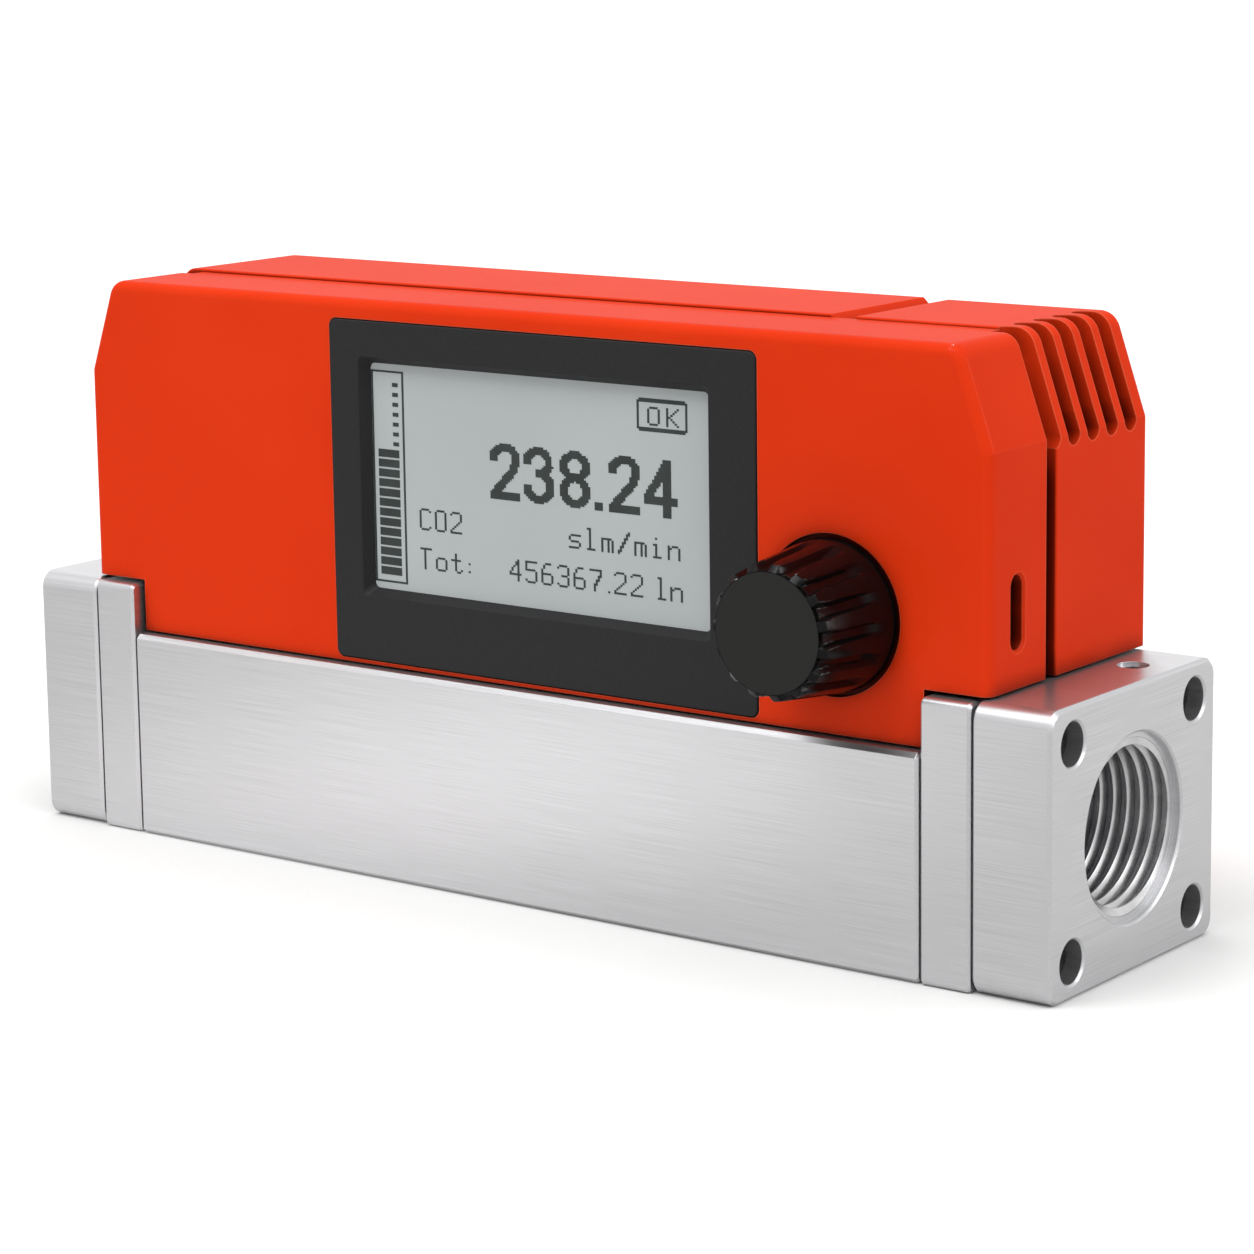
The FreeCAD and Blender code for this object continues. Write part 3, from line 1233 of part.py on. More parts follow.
flowBody()
for name, side in (("inlet", -1), ("outlet", 1)):
    spacer(name + "_spacer", side)
    portBlock(name + "_port_block", side)
    endFasteners(name, side)
    endSeals(name, side)
    testPlug(name + "_test_plug", side)
    screen(name + "_screen", side)
flowElement()
sensorModule()
frontCover()
rearCover()
slottedCover(ventedCover())
bezel()
displayStack()
serviceSocket()
encoder()
knob()
chassis()
mainBoard()
signalConnector()

doc.recompute()

faults = []
for thing in doc.Objects:
    if "Invalid" in thing.State or "Error" in thing.State:
        faults.append(f"{thing.Label}: {thing.State}")
for piece in pieces:
    if piece.Shape.isNull() or not piece.Shape.isValid() or not piece.Shape.Solids:
        faults.append(f"{piece.Label}: bad shape")
if faults:
    raise RuntimeError("; ".join(faults))

for piece in pieces:
    piece.Shape.exportStep(f"parts/{piece.Label}.step")
    print(f"{piece.Label}: {len(piece.Shape.Solids)} solids, {piece.Shape.Volume:.1f} mm3")
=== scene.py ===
import json
import math

import bmesh
import bpy
from mathutils import Matrix, Vector


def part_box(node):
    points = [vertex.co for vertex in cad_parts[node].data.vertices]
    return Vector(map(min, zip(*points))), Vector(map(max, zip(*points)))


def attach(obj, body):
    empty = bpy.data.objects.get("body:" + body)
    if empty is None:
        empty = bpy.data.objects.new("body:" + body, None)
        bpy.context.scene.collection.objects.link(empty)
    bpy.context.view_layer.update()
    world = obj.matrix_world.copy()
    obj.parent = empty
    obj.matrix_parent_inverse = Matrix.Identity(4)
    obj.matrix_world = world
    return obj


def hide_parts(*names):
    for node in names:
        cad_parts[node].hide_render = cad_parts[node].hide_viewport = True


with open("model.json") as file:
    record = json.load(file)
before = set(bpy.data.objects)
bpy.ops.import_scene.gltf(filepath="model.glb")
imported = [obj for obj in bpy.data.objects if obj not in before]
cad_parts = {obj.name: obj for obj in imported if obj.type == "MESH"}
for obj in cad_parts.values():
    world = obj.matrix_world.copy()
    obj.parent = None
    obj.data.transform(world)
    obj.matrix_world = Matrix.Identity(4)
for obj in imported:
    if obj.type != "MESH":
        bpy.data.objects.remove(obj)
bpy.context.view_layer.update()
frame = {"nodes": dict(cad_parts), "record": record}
cadNodes = frame["nodes"]
mm = 0.001


def hexColour(code):
    # sRGB hex to the linear colour that nodes take
    parts = [int(code[i:i + 2], 16) / 255 for i in (1, 3, 5)]
    return [p / 12.92 if p <= 0.04045 else ((p + 0.055) / 1.055) ** 2.4 for p in parts] + [1.0]


def addNode(tree, kind, links=None, stops=(), **settings):
    # one node with its settings; a link goes from an output to the input of that name or number, and
    # stops are the places and colours of a two-colour ramp
    node = tree.nodes.new(kind)
    for key, value in settings.items():
        if hasattr(node, key):
            setattr(node, key, value)
        else:
            node.inputs[key.replace("_", " ")].default_value = value
    for socket, source in (links or {}).items():
        tree.links.new(source, node.inputs[socket])
    for number, (place, code) in enumerate(stops):
        node.color_ramp.elements[number].position = place
        node.color_ramp.elements[number].color = hexColour(code)
    return node


def newMaterial(name, **settings):
    # a material with its node tree, its shader with these settings, and the Object coordinates
    material = bpy.data.materials.new(name)
    material.use_nodes = True
    tree = material.node_tree
    shader = tree.nodes["Principled BSDF"]
    for key, value in settings.items():
        shader.inputs[key.replace("_", " ")].default_value = value
    place = addNode(tree, "ShaderNodeTexCoord").outputs["Object"]
    return material, tree, shader, place


def finishPiece(name, shape, material, body, sharpAngle=None):
    # turns a bmesh that is built in place into a piece that rides on a body
    bmesh.ops.recalc_face_normals(shape, faces=shape.faces)
    if sharpAngle:
        for face in shape.faces:
            face.smooth = True
        for edge in shape.edges:
            edge.smooth = edge.calc_face_angle(0) < math.radians(sharpAngle)
    mesh = bpy.data.meshes.new(name)
    shape.to_mesh(mesh)
    shape.free()
    piece = bpy.data.objects.new(name, mesh)
    bpy.context.scene.collection.objects.link(piece)
    mesh.materials.append(material)
    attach(piece, body)
    return piece


view = {
    "yaw": 37.124, "pitch": 9.938, "roll": -0.781,         # degrees round the part
    "distance": 468.268, "aimX": 6.384, "aimZ": 45.303,    # mm
    "focal": 3734.537, "centreY": 527, "imageSize": 1254,  # pixels
    "sensor": 36,                                          # mm
    "clip": (0.02, 20),                                    # m
}


def makeCamera():
    yaw, pitch, roll = (math.radians(view[key]) for key in ("yaw", "pitch", "roll"))
    back = Vector((math.sin(yaw) * math.cos(pitch), -math.cos(yaw) * math.cos(pitch), math.sin(pitch)))
    right = (-back).cross(Vector((0, 0, 1))).normalized()
    up = right.cross(-back)
    rolledRight = right * math.cos(roll) + up * math.sin(roll)
    rolledUp = up * math.cos(roll) - right * math.sin(roll)
    data = bpy.data.cameras.new("camera")
    data.sensor_width = view["sensor"]
    data.lens = view["focal"] / view["imageSize"] * view["sensor"]
    data.shift_y = (view["centreY"] - view["imageSize"] / 2) / view["imageSize"]
    data.clip_start, data.clip_end = view["clip"]
    camera = bpy.data.objects.new("camera", data)
    bpy.context.scene.collection.objects.link(camera)
    turn = Matrix((rolledRight, rolledUp, back)).transposed().to_4x4()
    place = (Vector((view["aimX"], 0, view["aimZ"])) + back * view["distance"]) * mm
    camera.matrix_world = Matrix.Translation(place) @ turn
    bpy.context.scene.camera = camera


makeCamera()
print("camera placed")


# Lamp turns are degrees from overhead and round from the front, so a minus is to the left. The floor
# glows by floorLift where all its near sky is open, and not at all where only shadowDepth of it is.
studio = {
    "sky": 0.55, "background": "#FFFFFF",
    "lamps": {
        # name: strength, spread, from overhead, round from the front, lights only gloss
        "keyLamp": (1.6, 32, 30, -22, False),
        "fillLamp": (1.0, 60, 37, 80, False),
        "edgeLamp": (2.2, 7, 30, 217, True),
        "sideLamp": (1.0, 25, 81, 120, True),
    },
    "floorSize": 6.0, "floorColour": "#D8D8D7",
    "floorLift": 0.34, "shadowReach": 38 * mm, "shadowDepth": 0.45,
    "bounceCentre": (-46 * mm, -88 * mm, 0), "bounceReach": 100 * mm, "bounceLift": 0.8,
}


def seenDirectly(tree, rays):
    # 1 for a camera, mirror or glass ray and 0 for the light that falls on things
    seen = addNode(tree, "ShaderNodeMath", {0: rays["Is Camera Ray"], 1: rays["Is Glossy Ray"]},
                   operation="MAXIMUM").outputs[0]
    return addNode(tree, "ShaderNodeMath", {0: seen, 1: rays["Is Transmission Ray"]},
                   operation="MAXIMUM").outputs[0]


def makeStudio():
    scene = bpy.context.scene
    scene.view_settings.view_transform = "Standard"
    world = bpy.data.worlds.new("studio")
    world.use_nodes = True
    tree = world.node_tree
    tree.nodes.clear()
    seen = seenDirectly(tree, addNode(tree, "ShaderNodeLightPath").outputs)
    strength = addNode(tree, "ShaderNodeMapRange", {"Value": seen}, To_Min=studio["sky"], To_Max=1.0)
    sky = addNode(tree, "ShaderNodeBackground", {"Strength": strength.outputs["Result"]},
                  Color=hexColour(studio["background"]))
    addNode(tree, "ShaderNodeOutputWorld", {"Surface": sky.outputs[0]})
    scene.world = world

    for name, (strength, spread, fromTop, around, onlyGloss) in studio["lamps"].items():
        data = bpy.data.lights.new(name, "SUN")
        data.energy = strength
        data.angle = math.radians(spread)
        lamp = bpy.data.objects.new(name, data)
        lamp.rotation_euler = (math.radians(fromTop), 0, math.radians(around))
        lamp.visible_diffuse = not onlyGloss
        scene.collection.objects.link(lamp)

    shape = bmesh.new()
    bmesh.ops.create_grid(shape, x_segments=1, y_segments=1, size=studio["floorSize"] / 2)
    mesh = bpy.data.meshes.new("floor")
    shape.to_mesh(mesh)
    shape.free()
    floor = bpy.data.objects.new("floor", mesh)
    scene.collection.objects.link(floor)
    material, tree, shader, place = newMaterial("studioFloorPaper", Roughness=0.9, Specular_IOR_Level=0.1,
                                                Base_Color=hexColour(studio["floorColour"]),
                                                Emission_Color=hexColour(studio["background"]))
    # the floor's glow fades where the part closes off its sky, which deepens the shadow under the part
    clear = addNode(tree, "ShaderNodeAmbientOcclusion", samples=3,
                    Distance=studio["shadowReach"]).outputs["AO"]
    lift = addNode(tree, "ShaderNodeMapRange", {"Value": clear}, From_Min=studio["shadowDepth"],
                   To_Max=studio["floorLift"])
    # a soft reflector on the floor, front left, which shows only in gloss, above all in the metal's
    rays = addNode(tree, "ShaderNodeLightPath").outputs
    away = addNode(tree, "ShaderNodeVectorMath", {0: place}, operation="DISTANCE")
    away.inputs[1].default_value = studio["bounceCentre"]
    bounce = addNode(tree, "ShaderNodeMapRange", {"Value": away.outputs["Value"]},
                     interpolation_type="SMOOTHSTEP", From_Max=studio["bounceReach"],
                     To_Min=studio["bounceLift"], To_Max=0.0)
    paper = addNode(tree, "ShaderNodeMix", {0: rays["Is Glossy Ray"], 2: lift.outputs["Result"],
                                            3: bounce.outputs["Result"]})
    glow = addNode(tree, "ShaderNodeMath", {0: seenDirectly(tree, rays), 1: paper.outputs[0]},
                   operation="MULTIPLY")
    tree.links.new(glow.outputs[0], shader.inputs["Emission Strength"])
    mesh.materials.append(material)


makeStudio()
print("studio made")


def brushedAluminium():
    # Clear anodised aluminium, milled flat and belt brushed: close scratches along each face, which turn
    # crossways on the end faces, with a soft shine. They are drawn wider than the real ones, so they show.
    material, tree, shader, place = newMaterial("clearAnodisedBrushedAluminium", Metallic=0.9)
    scratchWidth, scratchLength, edgeWidth = 0.1 * mm, 16 * mm, 0.12 * mm
    facing = addNode(tree, "ShaderNodeTexCoord").outputs["Normal"]
    facingX = addNode(tree, "ShaderNodeSeparateXYZ", {0: facing}).outputs["X"]
    sideways = addNode(tree, "ShaderNodeMath", {0: facingX}, operation="ABSOLUTE").outputs[0]
    end = addNode(tree, "ShaderNodeMath", {0: sideways}, operation="ROUND").outputs[0]
    alongX = addNode(tree, "ShaderNodeMapRange", {"Value": end}, To_Min=1 / scratchLength,
                     To_Max=1 / scratchWidth).outputs["Result"]
    alongY = addNode(tree, "ShaderNodeMapRange", {"Value": end}, To_Min=1 / scratchWidth,
                     To_Max=1 / scratchLength).outputs["Result"]
    stretch = addNode(tree, "ShaderNodeCombineXYZ", {"X": alongX, "Y": alongY},
                      Z=1 / scratchWidth).outputs[0]
    lie = addNode(tree, "ShaderNodeMapping", {"Vector": place, "Scale": stretch}).outputs[0]
    scratches = addNode(tree, "ShaderNodeTexNoise", {"Vector": lie}, Scale=1.0, Detail=2.0,
                        Roughness=0.6).outputs["Fac"]
    tone = addNode(tree, "ShaderNodeValToRGB", {"Fac": scratches},
                   stops=[(0.3, "#BFBFC1"), (0.7, "#D0D0D2")])
    tree.links.new(tone.outputs[0], shader.inputs["Base Color"])
    gloss = addNode(tree, "ShaderNodeMapRange", {"Value": scratches}, To_Min=0.26, To_Max=0.38)
    tree.links.new(gloss.outputs[0], shader.inputs["Roughness"])
    soft = addNode(tree, "ShaderNodeBevel", samples=4, Radius=edgeWidth)
    bump = addNode(tree, "ShaderNodeBump", {"Height": scratches, "Normal": soft.outputs[0]}, Strength=0.1,
                   Distance=0.01 * mm)
    tree.links.new(bump.outputs[0], shader.inputs["Normal"])
    return material


def tappedAluminium():
    # The same metal where a tap cut it: brighter, with a faint change of shine every few millimetres.
    material, tree, shader, place = newMaterial("tappedAluminium", Metallic=0.97)
    patchSize = 3 * mm
    patches = addNode(tree, "ShaderNodeTexNoise", {"Vector": place}, Scale=1 / patchSize,
                      Detail=1.0).outputs["Fac"]
    tone = addNode(tree, "ShaderNodeValToRGB", {"Fac": patches}, stops=[(0.3, "#C2C2C3"), (0.7, "#D2D2D3")])
    tree.links.new(tone.outputs[0], shader.inputs["Base Color"])
    gloss = addNode(tree, "ShaderNodeMapRange", {"Value": patches}, To_Min=0.2, To_Max=0.3)
    tree.links.new(gloss.outputs[0], shader.inputs["Roughness"])
    return material


def mouldedHousing():
    # Injection moulded ABS from a spark-eroded mould: even red with a satin grain, drawn coarser than the
    # real one, so it shows. The bevel node finds the edges, which get a painted highlight in light orange,
    # and the occlusion node finds the slots and seams, which get painted shade in deep brown.
    material, tree, shader, place = newMaterial("mouldedRedAbs", IOR=1.5, Specular_IOR_Level=0.01,
                                                Coat_Weight=0.06, Coat_Roughness=0.12)
    grainSize, cloudSize, edgeWidth, slotReach = 0.28 * mm, 25 * mm, 0.26 * mm, 4 * mm
    pits = addNode(tree, "ShaderNodeTexNoise", {"Vector": place}, Scale=1 / grainSize, Detail=3.0,
                   Roughness=0.6).outputs["Fac"]
    cloud = addNode(tree, "ShaderNodeTexNoise", {"Vector": place}, Scale=1 / cloudSize,
                    Detail=2.0).outputs["Fac"]
    tone = addNode(tree, "ShaderNodeValToRGB", {"Fac": cloud}, stops=[(0.3, "#DD3510"), (0.7, "#E33A14")])
    soft = addNode(tree, "ShaderNodeBevel", samples=8, Radius=edgeWidth).outputs[0]
    flat = addNode(tree, "ShaderNodeNewGeometry").outputs["Normal"]
    # painted highlight: at edges, where the bevel normal parts from the face's own, the colour is mixed
    # towards light orange
    match = addNode(tree, "ShaderNodeVectorMath", {0: soft, 1: flat},
                    operation="DOT_PRODUCT").outputs["Value"]
    edge = addNode(tree, "ShaderNodeMapRange", {"Value": match}, From_Min=1.0, From_Max=0.88,
                   To_Max=0.7).outputs["Result"]
    paintedEdgeHighlight = addNode(tree, "ShaderNodeMix", {0: edge, 6: tone.outputs[0]}, data_type="RGBA")
    paintedEdgeHighlight.inputs[7].default_value = hexColour("#FF7A58")
    # painted shade: where the occlusion node finds little open sky, in slots and seams, the colour goes
    # towards deep brown
    sky = addNode(tree, "ShaderNodeAmbientOcclusion", samples=6, Distance=slotReach).outputs["AO"]
    clear = addNode(tree, "ShaderNodeMapRange", {"Value": sky}, From_Min=0.38,
                    From_Max=0.84).outputs["Result"]
    shade = addNode(tree, "ShaderNodeMix", {0: clear, 7: paintedEdgeHighlight.outputs[2]}, data_type="RGBA")
    shade.inputs[6].default_value = hexColour("#3A0A02")
    tree.links.new(shade.outputs[2], shader.inputs["Base Color"])
    gloss = addNode(tree, "ShaderNodeMapRange", {"Value": pits}, To_Min=0.38, To_Max=0.5)
    tree.links.new(gloss.outputs[0], shader.inputs["Roughness"])
    bump = addNode(tree, "ShaderNodeBump", {"Height": pits, "Normal": soft}, Strength=0.1, Distance=0.02 * mm)
    tree.links.new(bump.outputs[0], shader.inputs["Normal"])
    return material


def displayCell():
    # Reflective liquid crystal cell behind a satin polariser film: cool grey, a shade uneven.
    material, tree, shader, place = newMaterial("satinPolariserOverCell", IOR=1.5, Specular_IOR_Level=0.35)
    mottleSize, filmGrain = 22 * mm, 0.3 * mm
    mottle = addNode(tree, "ShaderNodeTexNoise", {"Vector": place}, Scale=1 / mottleSize,
                     Detail=1.0).outputs["Fac"]
    tone = addNode(tree, "ShaderNodeValToRGB", {"Fac": mottle}, stops=[(0.3, "#AFB5B6"), (0.7, "#B5BABB")])
    tree.links.new(tone.outputs[0], shader.inputs["Base Color"])
    film = addNode(tree, "ShaderNodeTexNoise", {"Vector": place}, Scale=1 / filmGrain,
                   Detail=1.0).outputs["Fac"]
    gloss = addNode(tree, "ShaderNodeMapRange", {"Value": film}, To_Min=0.3, To_Max=0.4)
    tree.links.new(gloss.outputs[0], shader.inputs["Roughness"])
    return material


def metalFinish(name, low, high, lineWidth, rough, metallic=1.0):
    # metal turned, drawn, plated or blackened: close uneven lines or clouds over a clear colour
    material, tree, shader, place = newMaterial(name, Metallic=metallic)
    lines = addNode(tree, "ShaderNodeTexNoise", {"Vector": place}, Scale=1 / lineWidth, Detail=3.0,
                    Roughness=0.6).outputs["Fac"]
    tone = addNode(tree, "ShaderNodeValToRGB", {"Fac": lines}, stops=[(0.3, low), (0.7, high)])
    tree.links.new(tone.outputs[0], shader.inputs["Base Color"])
    gloss = addNode(tree, "ShaderNodeMapRange", {"Value": lines}, To_Min=rough - 0.07, To_Max=rough + 0.08)
    tree.links.new(gloss.outputs[0], shader.inputs["Roughness"])
    return material


def polymerFinish(name, low, high, grainSize, rough, specular=0.5, edgeWidth=0.15 * mm):
    # moulded polymer, glass or rubber with an even grain and slightly soft edges
    material, tree, shader, place = newMaterial(name, IOR=1.5, Specular_IOR_Level=specular)
    grain = addNode(tree, "ShaderNodeTexNoise", {"Vector": place}, Scale=1 / grainSize,
                    Detail=2.0).outputs["Fac"]
    tone = addNode(tree, "ShaderNodeValToRGB", {"Fac": grain}, stops=[(0.3, low), (0.7, high)])
    tree.links.new(tone.outputs[0], shader.inputs["Base Color"])
    gloss = addNode(tree, "ShaderNodeMapRange", {"Value": grain}, To_Min=rough - 0.06, To_Max=rough + 0.06)
    tree.links.new(gloss.outputs[0], shader.inputs["Roughness"])
    soft = addNode(tree, "ShaderNodeBevel", samples=4, Radius=edgeWidth)
    bump = addNode(tree, "ShaderNodeBump", {"Height": grain, "Normal": soft.outputs[0]},
                   Strength=rough * 0.3, Distance=0.02 * mm)
    tree.links.new(bump.outputs[0], shader.inputs["Normal"])
    return material


def spangledZinc():
    # Hot dip zinc on sheet steel: flat grey crystals a few millimetres wide, each a shade apart.
    material, tree, shader, place = newMaterial("hotDipZincSheet", Metallic=1.0)
    crystalSize = 3 * mm
    crystals = addNode(tree, "ShaderNodeTexVoronoi", {"Vector": place}, Scale=1 / crystalSize)
    grey = addNode(tree, "ShaderNodeSeparateColor", {"Color": crystals.outputs["Color"]}).outputs[0]
    tone = addNode(tree, "ShaderNodeValToRGB", {"Fac": grey}, stops=[(0.0, "#9A9EA2"), (1.0, "#B6B9BC")])
    tree.links.new(tone.outputs[0], shader.inputs["Base Color"])
    gloss = addNode(tree, "ShaderNodeMapRange", {"Value": grey}, To_Min=0.38, To_Max=0.52)
    tree.links.new(gloss.outputs[0], shader.inputs["Roughness"])
    return material


def solderMask():
    # Glass-epoxy board under green solder mask: glossy, with copper tracks just showing as lighter lines.
    material, tree, shader, place = newMaterial("greenSolderMaskBoard", IOR=1.5)
    trackSize, weaveSize = 6 * mm, 0.5 * mm
    tracks = addNode(tree, "ShaderNodeTexBrick", {"Vector": place}, Scale=1 / trackSize,
                     Color1=hexColour("#0F4A2A"), Color2=hexColour("#11502E"), Mortar=hexColour("#1C6A3E"))
    tree.links.new(tracks.outputs["Color"], shader.inputs["Base Color"])
    weave = addNode(tree, "ShaderNodeTexNoise", {"Vector": place}, Scale=1 / weaveSize,
                    Detail=2.0).outputs["Fac"]
    gloss = addNode(tree, "ShaderNodeMapRange", {"Value": weave}, To_Min=0.24, To_Max=0.4)
    tree.links.new(gloss.outputs[0], shader.inputs["Roughness"])
    return material


# polymerFinish takes the darker and lighter tone, grain size, roughness, specular level and edge width,
# and metalFinish the darker and lighter tone, line width, roughness and metallic.
finishes = {
    "brushed_aluminium": brushedAluminium(),
    "red_housing": mouldedHousing(),
    # coarse matte texture that never shines
    "bezel_plate": polymerFinish("texturedGreyPolycarbonate", "#202021", "#262627", 0.2 * mm, 0.56, 0.18),
    "display_glass": displayCell(),
    "light_guide": polymerFinish("castAcrylicLightPlate", "#DCE0DE", "#E6E9E7", 2 * mm, 0.12),
    # deep black with sharp highlights
    "knob_black": polymerFinish("polishedBlackAbs", "#080808", "#0C0C0C", 1.5 * mm, 0.2, 0.13, 0.12 * mm),
    "knob_face": polymerFinish("grainedBlackAbs", "#1B1B1A", "#20201F", 0.18 * mm, 0.56, 0.18),
    "black_screw": metalFinish("blackOxideSteel", "#050505", "#0D0D0C", 1.2 * mm, 0.38, 0.7),
    "bright_steel": metalFinish("brightZincPlatedSteel", "#AEB0B2", "#C6C8CA", 0.6 * mm, 0.3),
    "plated_shell": metalFinish("brightNickelPlating", "#C2BEB4", "#D2CEC4", 0.8 * mm, 0.2),
    "brass": metalFinish("turnedBrass", "#B08D4C", "#C9A766", 0.5 * mm, 0.28),
    "seal_rubber": polymerFinish("mouldedNitrileRubber", "#121212", "#1B1B1B", 0.3 * mm, 0.68),
    "circuit_board": solderMask(),
    "black_insert": polymerFinish("mouldedBlackPbt", "#101011", "#181819", 0.25 * mm, 0.5),
    "zinc_sheet": spangledZinc(),
}
threadMetal = tappedAluminium()
# dots of twisted crystal that block the light: soft charcoal
segmentInk = polymerFinish("darkLiquidCrystal", "#303635", "#3B4140", 4 * mm, 0.4, 0.2, 0.01 * mm)

for subpart in frame["record"]["subparts"]:
    node = cadNodes[subpart["node"]]
    node.data.materials.clear()
    node.data.materials.append(finishes[subpart["material_slot"]])
print("materials made")


thread = {
    "pitch": 1.814, "rootRadius": 10.46, "crestRadius": 9.55,  # mm, half-inch parallel pipe thread
    "crestFlat": 0.34, "rootFlat": 0.3,
    "cornerOut": 0.08, "cornerIn": 0.04, "cornerDrop": 0.14,   # where the crest's corners are cut off
    "flowHeight": 17.0, "boreEnd": 63.9, "boreMouth": 78.15,
    "stepsPerTurn": 56, "spareTurns": 2, "sharpAngle": 20,
}


def makeThread(name, side):
    # One ridge profile is swept round the bore as it moves along it, then cut off square at both ends.
    pitch, height, steps = thread["pitch"], thread["flowHeight"], thread["stepsPerTurn"]
    root, crest = thread["rootRadius"], thread["crestRadius"]
    rootEnd = pitch / 2 - thread["rootFlat"] / 2
    flankEnd = thread["crestFlat"] / 2 + thread["cornerOut"]
    crestEnd = thread["crestFlat"] / 2 - thread["cornerIn"]
    shoulder = crest + thread["cornerDrop"]
    profile = [(-rootEnd, root), (-flankEnd, shoulder), (-crestEnd, crest),
               (crestEnd, crest), (flankEnd, shoulder), (rootEnd, root)]
    shape = bmesh.new()
    start = thread["boreEnd"] - pitch
    corners = [shape.verts.new(((start + along) * mm, 0, (height + out) * mm)) for along, out in profile]
    ridge = [shape.edges.new((corners[i], corners[(i + 1) % len(corners)])) for i in range(len(corners))]
    turns = (thread["boreMouth"] - thread["boreEnd"]) / pitch + thread["spareTurns"]
    count = int(turns * steps)
    bmesh.ops.spin(shape, geom=corners + ridge, cent=(0, 0, height * mm), axis=(1, 0, 0),
                   dvec=(pitch / steps * mm, 0, 0), angle=math.tau * count / steps, steps=count,
                   use_merge=False)
    for place, facing in ((thread["boreEnd"], -1), (thread["boreMouth"], 1)):
        cutting = bmesh.ops.bisect_plane(shape, geom=shape.verts[:] + shape.edges[:] + shape.faces[:],
                                         plane_co=(place * mm, 0, 0), plane_no=(facing, 0, 0),
                                         clear_outer=True)
        rim = [edge for edge in cutting["geom_cut"] if isinstance(edge, bmesh.types.BMEdge)]
        bmesh.ops.holes_fill(shape, edges=rim)
    if side < 0:
        bmesh.ops.rotate(shape, verts=shape.verts, cent=(0, 0, 0), matrix=Matrix.Rotation(math.pi, 3, "Z"))
    finishPiece(name, shape, threadMetal, "root", thread["sharpAngle"])


makeThread("outlet_thread", 1)
makeThread("inlet_thread", -1)
print("threads cut")


knobGrip = {
    "baseRadius": 9.1, "frontRadius": 7.9, "faceRadius": 7.1,  # mm
    "height": 13.0, "rim": 0.7, "rimSteps": 4, "skirt": 0.6, "baseRound": 0.15, "faceDepth": 0.8,
    "hollowRadius": 6.8, "hollowDepth": 4.5, "shaftRadius": 3.05, "shaftDepth": 9.0,
    "grooves": 15, "grooveWidth": 1.8, "grooveDepth": 0.75, "grooveEdge": 0.4,
    "runOut": (1.6, 5.5), "flareStart": 9.8, "flareWidth": 1.45, "flareDepth": 1.1,
    "stepsRound": 450, "stepsAlong": 34, "sharpAngle": 32,
    "weld": 0.001, "margin": 0.01,
}


def makeKnob():
    # A turned blank, whose grooves are pressed in where a groove passes and flare open at the front rim.
    grip = knobGrip
    base, front, face = grip["baseRadius"], grip["frontRadius"], grip["faceRadius"]
    shaft, hollow, height = grip["shaftRadius"], grip["hollowRadius"], grip["height"]
    rimStart, faceHeight = height - grip["rim"], height - grip["faceDepth"]
    taper = (base - front) / (rimStart - grip["skirt"])
    profile = [(0, grip["shaftDepth"]), (shaft, grip["shaftDepth"]), (shaft, grip["hollowDepth"]),
               (hollow, grip["hollowDepth"]), (hollow, 0), (base - grip["baseRound"], 0),
               (base, grip["baseRound"])]
    for step in range(grip["stepsAlong"] + 1):
        along = grip["skirt"] + (rimStart - grip["skirt"]) * step / grip["stepsAlong"]
        profile.append((base - taper * (along - grip["skirt"]), along))
    for step in range(1, grip["rimSteps"] + 1):
        profile.append((front + (face - front) * step / grip["rimSteps"],
                        rimStart + grip["rim"] * step / grip["rimSteps"]))
    profile += [(face, faceHeight), (0, faceHeight)]
    shape = bmesh.new()
    corners = [shape.verts.new((out * mm, 0, along * mm)) for out, along in profile]
    lines = [shape.edges.new(pair) for pair in zip(corners, corners[1:])]
    bmesh.ops.spin(shape, geom=corners + lines, cent=(0, 0, 0), axis=(0, 0, 1), angle=math.tau,
                   steps=grip["stepsRound"], use_merge=True)
    bmesh.ops.remove_doubles(shape, verts=shape.verts, dist=grip["weld"] * mm)

    period = math.tau / grip["grooves"]
    runFrom, runTo = grip["runOut"]
    for vert in shape.verts:
        out, along = math.hypot(vert.co.x, vert.co.y) / mm, vert.co.z / mm
        if out < face + grip["margin"] or along < runFrom:
            continue
        start = min(1, (along - runFrom) / (runTo - runFrom))
        flare = max(0, (along - grip["flareStart"]) / (height - grip["flareStart"])) ** 2
        depth = grip["grooveDepth"] * start * start * (3 - 2 * start) * (1 + (grip["flareDepth"] - 1) * flare)
        half = grip["grooveWidth"] / 2 * (1 + (grip["flareWidth"] - 1) * flare)
        turn = math.atan2(vert.co.y, vert.co.x)
        away = abs((turn + period / 2) % period - period / 2) * out
        inside = max(0, min(1, (half - away) / grip["grooveEdge"]))
        bottom = base - taper * (along - grip["skirt"]) - depth * inside
        pressed = min(out, max(bottom, face))
        vert.co.x *= pressed / out
        vert.co.y *= pressed / out
    low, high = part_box("knob")
    middle = ((low[0] + high[0]) / 2, high[1], (low[2] + high[2]) / 2)
    bmesh.ops.rotate(shape, verts=shape.verts, cent=(0, 0, 0), matrix=Matrix.Rotation(math.pi / 2, 3, "X"))
    bmesh.ops.translate(shape, verts=shape.verts, vec=middle)
    piece = finishPiece("knob_grip", shape, finishes["knob_black"], "knob", grip["sharpAngle"])
    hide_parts("knob")


makeKnob()
print("knob made")


